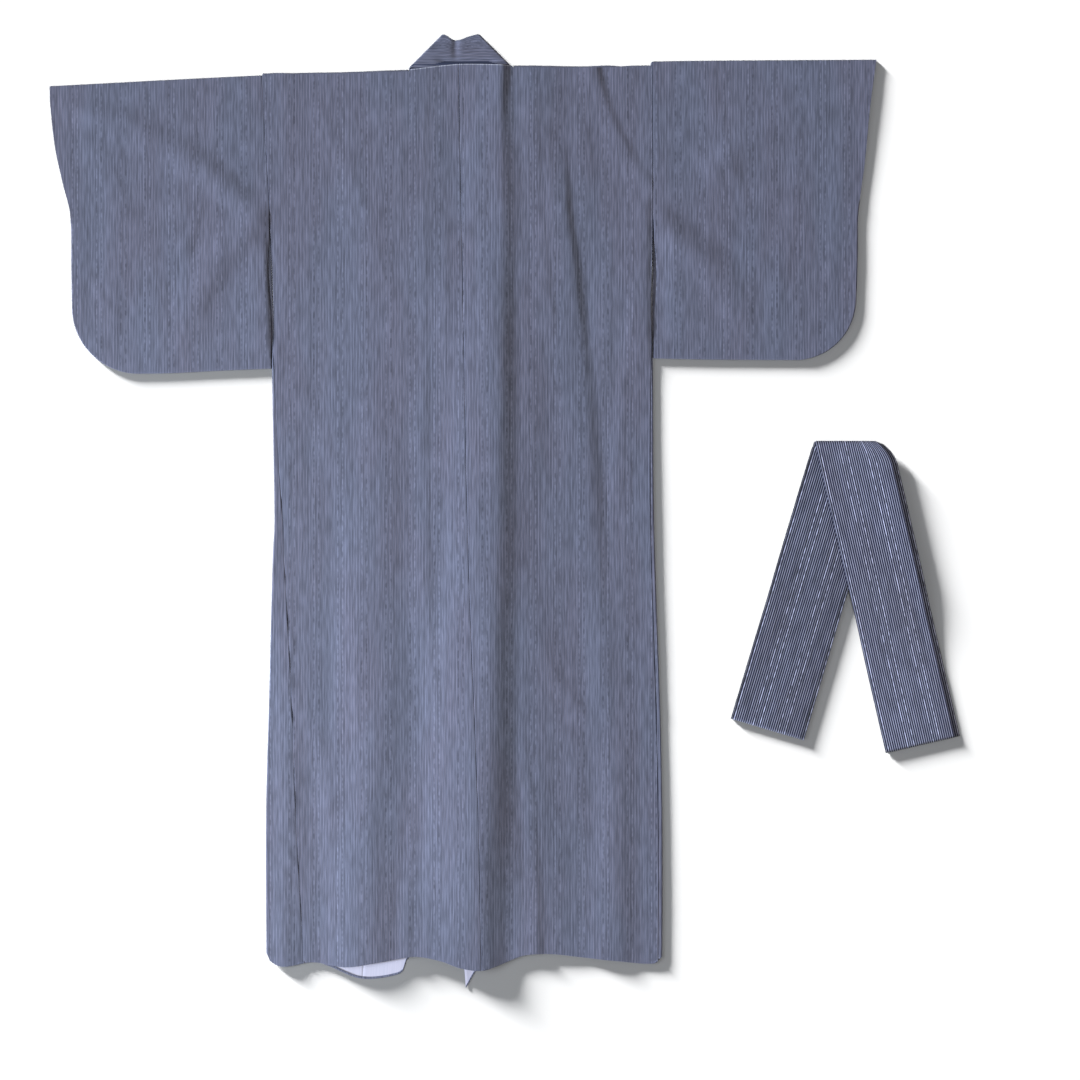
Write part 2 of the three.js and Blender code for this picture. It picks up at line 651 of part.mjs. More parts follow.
// A corner of the sleeve's outer or inner skin. sewn says that both layers meet there.
function sleeveCorner(side, u, v, layer, inner, sewn) {
  const half = SLEEVE_HEIGHT / 2;
  const place = sleevePlace(side, u, v, layer);
  const ends = Math.min(v, 1 - v) * SLEEVE_DEPTH;
  const wrist = v > CUFF_OPENING ? (1 - u) * SLEEVE_WIDTH : SLEEVE_WIDTH;
  const distance = Math.min(ends, wrist);
  const crown = (reach) => half * Math.sqrt(1 - (1 - clamp(reach / half)) ** 2);
  const height = inner ? Math.max(LEAST_HOLLOW, crown(distance + CLOTH) - CLOTH) : crown(distance);
  const rise = layer > 0 ? folds(SLEEVE_FOLDS[side], place.x, place.y) * smooth(distance / RISE_FADE) : 0;
  const inset = inner ? CLOTH : 0;
  place.x -= sign[side] * inset * clamp(1 - wrist / WALL_FADE.x);
  place.y += (v < 0.5 ? -1 : 1) * inset * clamp(1 - ends / WALL_FADE.y);
  return new THREE.Vector3(place.x, place.y, sewn ? half : half + layer * height + rise);
}

function sleeveGeometry(side) {
  const rows = sleeveRows(side);
  const columns = sleeveColumns();
  const lastRow = rows.length - 1;
  const lastColumn = columns.length - 1;
  const sewn = (i, j) => j === 0 || j === lastRow || (i === lastColumn && rows[j] > CUFF_OPENING);
  const shell = new Shell();
  const skin = (inner) => {
    const layer = (which, shared) => columns.map((u, i) => rows.map((v, j) => {
      if (shared && sewn(i, j)) return shared[i][j];
      return shell.add(sleeveCorner(side, u, v, which, inner, sewn(i, j)));
    }));
    const back = layer(1, null);
    return { back, front: layer(-1, back) };
  };
  const outer = skin(false);
  const inner = skin(true);
  const turned = side === "right";
  const face = (flip, a, b, c, d) => (flip ? shell.quad(d, c, b, a) : shell.quad(a, b, c, d));
  for (let i = 0; i < lastColumn; i++)
    for (let j = 0; j < lastRow; j++) {
      const corners = (grid) => [grid[i][j], grid[i + 1][j], grid[i + 1][j + 1], grid[i][j + 1]];
      face(turned, ...corners(outer.back));
      face(!turned, ...corners(outer.front));
      face(!turned, ...corners(inner.back));
      face(turned, ...corners(inner.front));
    }
  const rim = (flip, layer, i, j) =>
    face(flip, outer[layer][i][j], outer[layer][i][j + 1], inner[layer][i][j + 1], inner[layer][i][j]);
  for (let j = 0; j < lastRow; j++) {
    rim(turned, "back", 0, j);
    rim(!turned, "front", 0, j);
    if (j > 0 && sewn(lastColumn, j)) continue;
    rim(!turned, "back", lastColumn, j);
    rim(turned, "front", lastColumn, j);
  }
  return shell.geometry();
}

// ---- Belt: layered sections swept along the strap ----
// The outline of the layered strap: across it (a) and up through its layers (h).
function beltSection(layers) {
  const half = BELT.width / 2;
  const right = [];
  const left = [];
  layers.forEach((row, k) => {
    const low = k * BELT.layer + (k > 0 ? LAYER_NOTCH.up : 0);
    const bulge = (k + 0.5) * BELT.layer;
    right.push({ a: half - row.right - LAYER_NOTCH.in, h: low }, { a: half - row.right, h: bulge });
    left.push({ a: -half + row.left + LAYER_NOTCH.in, h: low }, { a: -half + row.left, h: bulge });
  });
  const top = layers.length * BELT.layer;
  const lastRow = layers[layers.length - 1];
  right.push({ a: half - lastRow.right - LAYER_NOTCH.in, h: top });
  left.push({ a: -half + lastRow.left + LAYER_NOTCH.in, h: top });
  return [...right, ...left.reverse()];
}

function sweep(sections) {
  const shell = new Shell();
  const rings = sections.map((ring) => ring.map((p) => shell.add(p)));
  const count = rings[0].length;
  for (let k = 0; k < rings.length - 1; k++)
    for (let i = 0; i < count; i++) {
      const n = (i + 1) % count;
      shell.quad(rings[k][i], rings[k][n], rings[k + 1][n], rings[k + 1][i]);
    }
  const cap = (ring, flip) => {
    const outline = sections[ring].map((p) => new THREE.Vector2(p.u, p.w));
    THREE.ShapeUtils.triangulateShape(outline, []).forEach(([a, b, c]) => {
      const [p, q, r] = [rings[ring][a], rings[ring][b], rings[ring][c]];
      shell.faces.push(...(flip ? [r, q, p] : [p, q, r]));
    });
  };
  cap(0, true);
  cap(rings.length - 1, false);
  return shell.geometry();
}

const BEND_STEPS = 8;
const BELT_HEIGHT = BELT_LAYERS.length * BELT.layer;
const BELT_BEND = BELT_HEIGHT + BELT.roll; // from the bend's axis to the strap's outer face
const BELT_NEUTRAL = BELT_HEIGHT / 2 + BELT.roll; // and to the middle of its layers
const BELT_LAP = 3; // how far the strap runs on below the bend before the under leg begins
const BELT_DROP = { start: 215, length: 190 }; // where the over leg comes down to the surface
const BELT_SQUARE = { start: 60, length: 300 }; // where sections turn from the fold line's way to square
const BELT_END = 4; // length of the last section, which keeps the end square
const OVER_ROWS = [14, 30, 60, 110, 170, 230, 280, 330, 380, 440]; // sections down each leg
const UNDER_ROWS = [0, 60, 130, 200, 280, 360];

const skewAt = (down) => 1 - smooth((down - BELT_SQUARE.start) / BELT_SQUARE.length);

// One section of a leg, at the distance down it; skew 1 makes it parallel to the fold line.
// turned says whether the strap rolls over the bend's axis once it is past it.
function beltRing(leg, section, down, skew, lift, turned) {
  const tilt = THREE.MathUtils.degToRad(leg.tilt);
  const axisY = BELT.foldY - BELT_BEND;
  const depth = Math.min(BELT.corner, Math.max(0, down));
  const inset = BELT.corner - Math.sqrt(BELT.corner ** 2 - (BELT.corner - depth) ** 2);
  return section.map((corner) => {
    const a = corner.a > 0 && turned ? corner.a - inset : corner.a;
    const { h } = corner;
    const run = down + skew * a * Math.tan(tilt);
    const x = leg.x + a * Math.cos(tilt) + run * Math.sin(tilt);
    const y = leg.y + a * Math.sin(tilt) - run * Math.cos(tilt);
    const past = (turned ? y - axisY : 0) / BELT_NEUTRAL;
    const place = new THREE.Vector3(x, y, lift + h);
    if (past > 0) {
      const angle = Math.min(past, Math.PI);
      place.y = axisY + (BELT.roll + h) * Math.sin(angle) - Math.max(0, past - Math.PI) * BELT_NEUTRAL;
      place.z = BELT_BEND + (BELT.roll + h) * Math.cos(angle);
    }
    return Object.assign(place, { u: a, w: h });
  });
}

function beltOver() {
  const leg = { ...BELT.over, y: BELT.foldY };
  const flat = [BELT_BEND, ...OVER_ROWS, leg.length - BELT_END, leg.length];
  const round = [];
  const turn = (Math.PI * BELT_NEUTRAL + BELT_LAP) / Math.cos(THREE.MathUtils.degToRad(leg.tilt));
  for (let k = BEND_STEPS; k > 0; k--) round.push(BELT_BEND - (turn * k) / BEND_STEPS);
  const upper = BELT_BEND + BELT.roll;
  return sweep([...round, ...flat].map((down) => {
    const lift = upper * (1 - smooth((down - BELT_DROP.start) / BELT_DROP.length));
    return beltRing(leg, beltSection(BELT_LAYERS), down, skewAt(down), lift, true);
  }));
}

function beltUnder() {
  const over = THREE.MathUtils.degToRad(BELT.over.tilt);
  const reach = Math.PI * BELT_NEUTRAL + BELT_LAP - BELT_BEND;
  const leg = {
    ...BELT.under,
    x: BELT.over.x - reach * Math.tan(over),
    y: BELT.foldY - BELT_BEND - BELT_LAP - SEAM,
  };
  const rows = [...UNDER_ROWS, leg.length - BELT_END, leg.length];
  const section = beltSection([...BELT_LAYERS].reverse());
  return sweep(rows.map((down) => beltRing(leg, section, down, skewAt(down), 0, false)));
}

// ---- The whole set ----
const robeCloth = new THREE.MeshStandardMaterial({ color: NAVY, roughness: 0.9, metalness: 0 });
const beltCloth = new THREE.MeshStandardMaterial({ color: BELT_NAVY, roughness: 0.9, metalness: 0 });

function piece(name, geometry, material) {
  const mesh = new THREE.Mesh(geometry, material);
  mesh.name = name;
  return mesh;
}

const set = new THREE.Group();
for (const side of ["left", "right"]) {
  set.add(piece("body_" + side, sheet(bodyGrid(side), CLOTH), robeCloth));
  set.add(piece("overlap_" + side, sheet(overlapGrid(side), CLOTH), robeCloth));
  set.add(piece("sleeve_" + side, sleeveGeometry(side), robeCloth));
}
set.add(piece("collar", sheet(collarGrid(), BAND_CLOTH), robeCloth));
set.add(piece("belt_over", beltOver(), beltCloth));
set.add(piece("belt_under", beltUnder(), beltCloth));

const outline = new THREE.Box3().setFromObject(set);
const centre = outline.getCenter(new THREE.Vector3());
set.position.set(-centre.x, -centre.y, -outline.min.z);

export default set;
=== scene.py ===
"""Looks of a cotton yukata robe, laid flat with its back up, and of its striped belt beside it.

Every piece is cut and sewn as the real one is: two body lengths that run over the shoulder, an
overlap panel on each front, a folded collar band, two sleeves that are flat tubes, and a belt of
three folded layers. Tables are in millimetres from the middle of the back neckline, with the
wearer's left at -X, +Y towards the collar and +Z up from the surface that everything lies on.
"""

from __future__ import annotations

import logging
import math
from collections.abc import Sequence
from dataclasses import dataclass
from enum import Enum

import bmesh
import bpy
import numpy as np
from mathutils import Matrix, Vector

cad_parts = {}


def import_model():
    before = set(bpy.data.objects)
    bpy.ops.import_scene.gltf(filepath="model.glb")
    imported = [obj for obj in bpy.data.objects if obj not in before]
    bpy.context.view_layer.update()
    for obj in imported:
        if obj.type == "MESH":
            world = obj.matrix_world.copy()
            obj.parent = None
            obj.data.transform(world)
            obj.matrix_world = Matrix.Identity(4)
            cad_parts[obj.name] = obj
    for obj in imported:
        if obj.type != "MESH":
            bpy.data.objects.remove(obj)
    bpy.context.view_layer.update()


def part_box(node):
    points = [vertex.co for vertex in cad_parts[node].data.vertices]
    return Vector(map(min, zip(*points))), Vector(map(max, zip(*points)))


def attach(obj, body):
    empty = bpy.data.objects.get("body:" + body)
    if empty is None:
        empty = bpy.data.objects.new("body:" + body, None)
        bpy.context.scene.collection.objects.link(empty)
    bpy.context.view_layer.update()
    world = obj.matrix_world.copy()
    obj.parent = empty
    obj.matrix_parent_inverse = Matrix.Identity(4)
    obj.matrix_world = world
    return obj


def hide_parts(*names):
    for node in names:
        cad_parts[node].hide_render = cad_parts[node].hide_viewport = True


log = logging.getLogger("yukata")

MM = 0.001
Array = np.ndarray
Piece = bpy.types.Object
Socket = bpy.types.NodeSocket
Colour = tuple[float, float, float, float]
Span = tuple[float, float]


class Side(Enum):
    """The wearer's two sides, and which way each lies along X."""

    LEFT = -1
    RIGHT = 1

    @property
    def word(self) -> str:
        """The side's name as it stands in node and piece names."""
        return self.name.lower()


class Held(Enum):
    """How a piece of cloth is held in its place."""

    LAID = "laid"
    FOLDED = "folded"


# ---- Small mathematics ----


def mix(a: Array | float, b: Array | float, t: Array | float) -> Array | float:
    """The value at the share t of the way from a to b."""
    return a + (b - a) * t


def smooth(t: Array | float) -> Array | float:
    """A soft step from 0 to 1 while t runs from 0 to 1."""
    t = np.clip(t, 0, 1)
    return t * t * (3 - 2 * t)


def unit(vectors: Array) -> Array:
    """The vectors, each at length 1."""
    return vectors / np.maximum(np.linalg.norm(vectors, axis=-1, keepdims=True), 1e-12)


class Profile:
    """A smooth line through a short table of rows, read at any place along it."""

    def __init__(self, *rows: tuple[float, float]) -> None:
        """Sorts the rows, each a place and its value."""
        self.places, self.values = np.array(sorted(rows), float).T

    def __call__(self, at: Array | float) -> Array:
        """The value at a place, level beyond the first and last rows.

        Args:
            at: one place, or an array of them.

        Returns:
            The values there, as an array of the same shape.
        """
        k, v = self.places, self.values
        last = len(k) - 1
        at = np.clip(np.asarray(at, float), k[0], k[-1])
        i = np.clip(np.searchsorted(k, at, side="right") - 1, 0, last - 1)
        span = k[i + 1] - k[i]
        here = (v[i + 1] - v[i]) / span
        low, high = np.maximum(i - 1, 0), np.minimum(i + 2, last)
        before = np.where(i > 0, (v[i + 1] - v[low]) / (k[i + 1] - k[low]), here)
        after = np.where(i < last - 1, (v[high] - v[i]) / (k[high] - k[i]), here)
        t = (at - k[i]) / span
        bend = (1 - t) * (before - here) - t * (after - here)
        return v[i] + span * t * (here + (1 - t) * bend)


@dataclass(frozen=True)
class Fold:
    """One soft fold of laid cloth, a crest with unlike slopes.

    The crest runs from start to end, bowed sideways by bow at its middle, and its rise goes from
    the first value to the second. left and right are the widths of its slopes at the first end,
    and spread is how many times wider they are at the last.
    """

    start: tuple[float, float]
    end: tuple[float, float]
    bow: float
    rise: tuple[float, float]
    left: float
    right: float
    spread: float = 1.0
    fade: float = 0.15

    def height(self, x: Array, y: Array) -> Array:
        """How far the fold lifts the cloth over each point, in millimetres.

        Args:
            x: the places across.
            y: the places along.

        Returns:
            The height at each place.
        """
        dx, dy = self.end[0] - self.start[0], self.end[1] - self.start[1]
        length = math.hypot(dx, dy)
        t = ((x - self.start[0]) * dx + (y - self.start[1]) * dy) / length**2
        reach = np.clip(t, 0, 1)
        bow = 4 * self.bow * reach * (1 - reach)
        side = ((x - self.start[0]) * -dy + (y - self.start[1]) * dx) / length - bow
        width = np.where(side > 0, self.right, self.left) * mix(1, self.spread, reach)
        ends = smooth((t + self.fade) / self.fade) * smooth((1 + self.fade - t) / self.fade)
        slope = np.cos(np.pi / 2 * np.clip(side / width, -1, 1)) ** 2
        return mix(self.rise[0], self.rise[1], reach) * ends * slope


def fold_heights(folds: Sequence[Fold], x: Array, y: Array) -> Array:
    """The sum of several folds over each point."""
    return sum((fold.height(x, y) for fold in folds), np.zeros(np.broadcast(x, y).shape))


@dataclass(frozen=True)
class Settling:
    """The slight unevenness of cloth that has been smoothed out by hand.

    It is a sum of long low waves: across and along are their shortest and longest lengths.
    """

    amplitude: float
    across: tuple[float, float]
    along: tuple[float, float]
    seed: int
    waves: int = 14

    def height(self, x: Array, y: Array) -> Array:
        """The waves' height over each point, in millimetres.

        Args:
            x: the places across.
            y: the places along.

        Returns:
            The height at each place.
        """
        rng = np.random.default_rng(self.seed)
        total = np.zeros(np.broadcast(x, y).shape)
        for _ in range(self.waves):
            wide = rng.uniform(*self.across)
            long = rng.uniform(*self.along) * rng.choice((-1, 1))
            total = total + np.sin(2 * np.pi * (x / wide + y / long) + rng.uniform(0, 2 * np.pi))
        return total * self.amplitude / math.sqrt(self.waves)


# ---- The robe's cut and lie ----

SHOULDER = Profile((-682, -36), (-332, -18), (-134, -12), (-87, -9), (0, 0), (87, -2), (164, -2),
                   (319, 5), (689, 8))
SIDE_EDGE = {
    Side.LEFT: Profile((10, -333), (-17, -332), (-251, -319), (-400, -311), (-498, -313),
                       (-755, -309), (-822, -312), (-1054, -318), (-1250, -323), (-1560, -322)),
    Side.RIGHT: Profile((10, 319), (-251, 320), (-385, 316), (-506, 318), (-755, 320),
                        (-1100, 331), (-1300, 334), (-1560, 333)),
}
CENTRE_SEAM = Profile((20, -4), (-307, 2), (-820, 13), (-1230, 29), (-1560, 35))
SEAM_DRIFT = {
    Side.LEFT: Profile((-400, 0), (-498, 4), (-722, 13), (-1000, 35), (-1395, 59), (-1560, 63)),
    Side.RIGHT: Profile((-400, 0), (-560, 5), (-900, 7), (-1560, 8)),
}
BACK_HEM = Profile((-322, -1474), (-316, -1487), (-295, -1496), (-246, -1489), (-193, -1496),
                   (-134, -1488), (-76, -1479), (-32, -1486), (0, -1497), (36, -1501),
                   (66, -1492), (106, -1477), (150, -1475), (196, -1480), (254, -1486),
                   (320, -1491), (333, -1480))
FRONT_HEM = {
    Side.LEFT: Profile((-322, -1474), (-300, -1481), (-255, -1484), (-216, -1497), (-176, -1514),
                       (-150, -1517), (-111, -1511), (-96, -1503), (-90, -1484), (-60, -1474),
                       (-30, -1472)),
    Side.RIGHT: Profile((8, -1532), (25, -1503), (45, -1484), (150, -1466), (250, -1470),
                        (333, -1480)),
}
COLLAR_SEAM = {
    Side.LEFT: Profile((0, -87), (-100, -81), (-230, -70), (-740, 12)),
    Side.RIGHT: Profile((0, 87), (-100, 84), (-230, 74), (-740, -3)),
}
OVERLAP_SEAM = {
    Side.LEFT: Profile((-230, -73), (-400, -90), (-740, -108), (-1560, -170)),
    Side.RIGHT: Profile((-230, 77), (-400, 95), (-740, 112), (-1560, 124)),
}
FRONT_EDGE = {
    Side.LEFT: Profile((-740, 12), (-1100, -10), (-1560, -40)),
    Side.RIGHT: Profile((-740, -3), (-1390, 2), (-1480, 8)),
}

# The large folds of the back, then its small creases.
BODY_FOLDS = (
    Fold((62, 0), (24, -1500), 14, (3.2, 8.8), 60, 25, 2.5),
    Fold((-166, -420), (-170, -1500), 12, (0, 7), 60, 70, 1.3),
    Fold((172, -240), (225, -1120), 16, (3, 1), 50, 16, 2.2),
    Fold((-290, -900), (-292, -1500), 0, (0, 3), 26, 34),
    Fold((222, -5), (306, -190), -12, (3, 1), 40, 14, 1.2),
    Fold((262, -760), (250, -1500), 0, (0, 4), 50, 44),
    Fold((24, -420), (8, -1300), 6, (4.2, 6.4), 105, 180),
)
BODY_CREASES = (
    Fold((-58, -560), (-44, -1040), -8, (0.5, 1.4), 26, 12, 1.4),
    Fold((134, -960), (206, -1080), -10, (0.5, 0.9), 26, 20, 1.0, 0.4),
    Fold((206, -1080), (312, -1062), -8, (0.9, 0.5), 26, 20, 1.0, 0.4),
    Fold((-268, -1046), (-222, -1226), 16, (0.6, 1.0), 26, 20, 1.0, 0.4),
    Fold((-222, -1226), (-168, -1168), 6, (1.0, 0.5), 20, 24, 1.0, 0.4),
    Fold((-240, -60), (-130, -330), 8, (0.9, 0.4), 34, 16),
    Fold((120, -30), (150, -420), -6, (0.7, 0.9), 30, 12),
    Fold((-62, -90), (-66, -620), 4, (0.6, 0.9), 30, 14),
    Fold((-300, -470), (-196, -700), 8, (0.7, 0.4), 30, 14),
    Fold((284, -420), (262, -700), -5, (0.5, 0.8), 20, 12),
    Fold((104, -1120), (126, -1480), 4, (0.4, 1.6), 18, 12, 1.3),
    Fold((-70, -1180), (-92, -1490), -4, (0.3, 1.8), 18, 14, 1.3),
    Fold((73, 4), (66, -84), 0, (1.8, 0.5), 26, 8),
    Fold((-318, -290), (-314, -450), 0, (-1.4, -1.4), 12, 30),
    Fold((306, -240), (308, -470), 0, (1.6, 1.6), 50, 12),
)
FRONT_CREASES = (
    Fold((-280, -300), (-210, -760), 10, (0.5, 0.9), 20, 14, 1.3),
    Fold((-200, -700), (-230, -1400), -10, (0.4, 0.9), 22, 16, 1.3),
    Fold((150, -240), (236, -640), 8, (0.8, 0.5), 18, 14, 1.2),
    Fold((272, -620), (214, -1380), 12, (0.5, 0.9), 24, 14, 1.2),
)
SLEEVE_FOLDS = {
    Side.LEFT: (
        Fold((-340, -262), (-470, -470), -16, (4.6, 1.4), 46, 32, 1.2),
        Fold((-630, -70), (-375, -215), 12, (2, 4), 45, 45, 0.8),
        Fold((-622, -330), (-566, -418), -9, (0.7, 0.9), 14, 9),
        Fold((-400, -60), (-452, -300), 6, (0.5, 0.8), 24, 14),
        Fold((-600, -150), (-520, -330), 6, (0.6, 0.4), 28, 18),
        Fold((-326, -300), (-319, -500), 0, (2.2, 1.8), 60, 7),
    ),
    Side.RIGHT: (
        Fold((328, -266), (468, -420), 14, (4.4, 1), 34, 40, 1.3),
        Fold((640, -60), (420, -170), -10, (1, 3), 45, 45, 0.9),
        Fold((400, -250), (500, -330), 8, (0.4, 0.9), 20, 22),
        Fold((560, -120), (520, -420), 6, (0.7, 0.5), 26, 16),
        Fold((420, -40), (476, -240), -6, (0.4, 0.8), 24, 14),
        Fold((325, -270), (325, -470), 0, (-1.4, -1.4), 12, 30),
    ),
}
WRIST_EDGE = {
    Side.LEFT: Profile((-36, -682), (-68, -681), (-138, -673), (-198, -660), (-248, -648),
                       (-340, -646), (-402, -645)),
    Side.RIGHT: Profile((8, 689), (-66, 679), (-160, 670), (-247, 659), (-319, 658),
                        (-405, 655)),
}
CUFF_X = {Side.LEFT: -682.0, Side.RIGHT: 689.0}
SLEEVE_BOTTOM = {
    Side.LEFT: Profile((-644, -512), (-500, -512), (-402, -507), (-311, -503)),
    Side.RIGHT: Profile((316, -487), (420, -489), (655, -490)),
}
CORNER_RADIUS = {Side.LEFT: 110.0, Side.RIGHT: 100.0}
# How far the sleeve's back layer stands off the body below the armhole, by height.
SLIT = Profile((-240, 0), (-290, 3), (-350, 8), (-440, 3), (-520, 1))
# Where the left side seam gapes a little: how far, by height.
SEAM_GAPE = Profile((-400, -0.2), (-480, -0.2), (-500, 1), (-520, -0.2), (-700, -0.2), (-722, 1.2),
                    (-760, -0.2), (-824, -0.2), (-838, 1.5), (-852, -0.2), (-884, -0.2), (-910, 2),
                    (-938, -0.2), (-962, -0.2), (-982, 2), (-1004, -0.2), (-1046, -0.2),
                    (-1068, 2.2), (-1090, -0.2), (-1182, -0.2), (-1206, 1.4), (-1236, -0.2),
                    (-1300, -0.2), (-1322, 1.5), (-1350, -0.2), (-1390, 1.2), (-1420, -0.2))
# Height of the collar's free edge behind the neck, which dips between its two folded corners.
COLLAR_TOP = Profile((-60, 0), (-34, 0), (-26, -1), (-12, -9), (-2, -9), (12, -4), (28, 0),
                     (60, 0))


@dataclass(frozen=True)
class RobeForm:
    """How the robe lies: its driving sizes, and the height of each layer."""

    cloth: float = 0.7
    ground_gap: float = 0.08
    seam: float = 0.3
    body_length: float = 1480
    neck_half: float = 87
    band_width: float = 55
    band_end: float = -740
    overlap_top: float = -230
    armhole_end: float = -251
    side_seam_top: float = -400
    back_level: float = 4
    centre_rise: float = 3
    rise_inner: float = 110
    rise_outer: float = 240
    crossing_lift: float = 3
    crossing_near: float = 8
    crossing_far: float = 60
    edge_fade: float = 100
    edge_probe: float = 3
    back_settling: Settling = Settling(0.34, (46, 150), (260, 900), 11)
    front_settling: Settling = Settling(0.16, (60, 160), (260, 900), 23)

    @property
    def front(self) -> float:
        """Mid-height of a front that lies on the surface."""
        return self.cloth / 2 + self.ground_gap

    def back(self, x: Array, y: Array) -> Array:
        """Mid-height of the back layer.

        Args:
            x: the places across.
            y: the places along.

        Returns:
            The height at each place.
        """
        lift = 1 - smooth((np.abs(x) - self.rise_inner) / (self.rise_outer - self.rise_inner))
        level = self.back_level + self.centre_rise * lift + fold_heights(BODY_FOLDS, x, y)
        return level + fold_heights(BODY_CREASES, x, y) + self.back_settling.height(x, y)

    def opened(self, y: Array) -> Array:
        """How far the side is open for the sleeve: 0 at the side seam, 1 from the armhole up."""
        return smooth((y - self.side_seam_top) / (self.armhole_end - self.side_seam_top))

    def left_front_edge(self, y: Array) -> Array:
        """Where the left front ends, with its collar, at each height.

        Args:
            y: the places along.

        Returns:
            X at each place.
        """
        cloth = np.where(y > self.band_end, COLLAR_SEAM[Side.LEFT](y), FRONT_EDGE[Side.LEFT](y))
        below = smooth((self.band_end - self.crossing_far - y) / self.edge_fade)
        return cloth + self.band_width * (1 - below)

    def front_level(self, side: Side, x: Array, y: Array) -> Array:
        """Mid-height of a front, where the right one rises to pass over the left one.

        Args:
            side: the robe's side.
            x: the places across.
            y: the places along.

        Returns:
            The height at each place.
        """
        ripple = fold_heights(FRONT_CREASES, x, y)
        ripple = ripple + np.maximum(0, self.front_settling.height(x, y))
        if side is Side.LEFT:
            return self.front + ripple
        past = x - self.left_front_edge(y) - self.crossing_near
        over = 1 - smooth(past / (self.crossing_far - self.crossing_near))
        return self.front + self.crossing_lift * over + ripple

    def just_inside(self, side: Side, y: Array) -> Array:
        """The place a little in from the side edge, where its two layers' heights are taken."""
        return SIDE_EDGE[side](y) - side.value * self.edge_probe

    def side_radius(self, side: Side, y: Array) -> Array:
        """Radius of the roll at the side edge, from the front layer to the back one."""
        inside = self.just_inside(side, y)
        return (self.back(inside, y) - self.front_level(side, inside, y)) / 2

    def section(self, side: Side, y: Array, reach: Array) -> tuple[Array, Array]:
        """A place in the body's section at one height.

        Args:
            side: the robe's side.
            y: the height of the section.
            reach: the distance round from the side edge, positive on the back.

        Returns:
            X and Z there.
        """
        edge = SIDE_EDGE[side](y)
        low = self.front_level(side, self.just_inside(side, y), y)
        radius = self.side_radius(side, y)
        quarter = np.pi / 2 * radius
        angle = np.clip(reach / quarter, -1, 1) * np.pi / 2
        inward = radius * (1 - np.cos(angle)) + np.maximum(0, np.abs(reach) - quarter)
        x = edge - side.value * inward
        z = low + radius + radius * np.sin(angle)
        z = np.where(reach > quarter, self.back(x, y), z)
        return x, np.where(reach < -quarter, self.front_level(side, x, y), z)

    def cut_across(self, side: Side, y: Array, reach: Array) -> Array:
        """How far across the cut a place lies; its lines run plumb down the back."""
        radius = self.side_radius(side, y)
        return np.abs(SIDE_EDGE[side](y)) - radius + np.pi / 2 * radius - reach

    def reach_of(self, side: Side, x: Array, y: Array) -> Array:
        """The distance round from the side edge of a place on the flat of the back or front."""
        radius = self.side_radius(side, y)
        return np.abs(SIDE_EDGE[side](y) - x) - radius + np.pi / 2 * radius


# ---- Cloth as a grid, and the meshes made from it ----

# The segments of a half turn and of a turned hem's width, and the weight of large faces' normals.
TURN_SEGMENTS = 4
HEM_SEGMENTS = 3
NORMAL_WEIGHT = 80


class Edge(Enum):
    """The four edges of a sheet: the axis of its grid, and whether it is the first or last."""

    FIRST_COLUMN = (0, 0)
    LAST_COLUMN = (0, 1)
    FIRST_ROW = (1, 0)
    LAST_ROW = (1, 1)


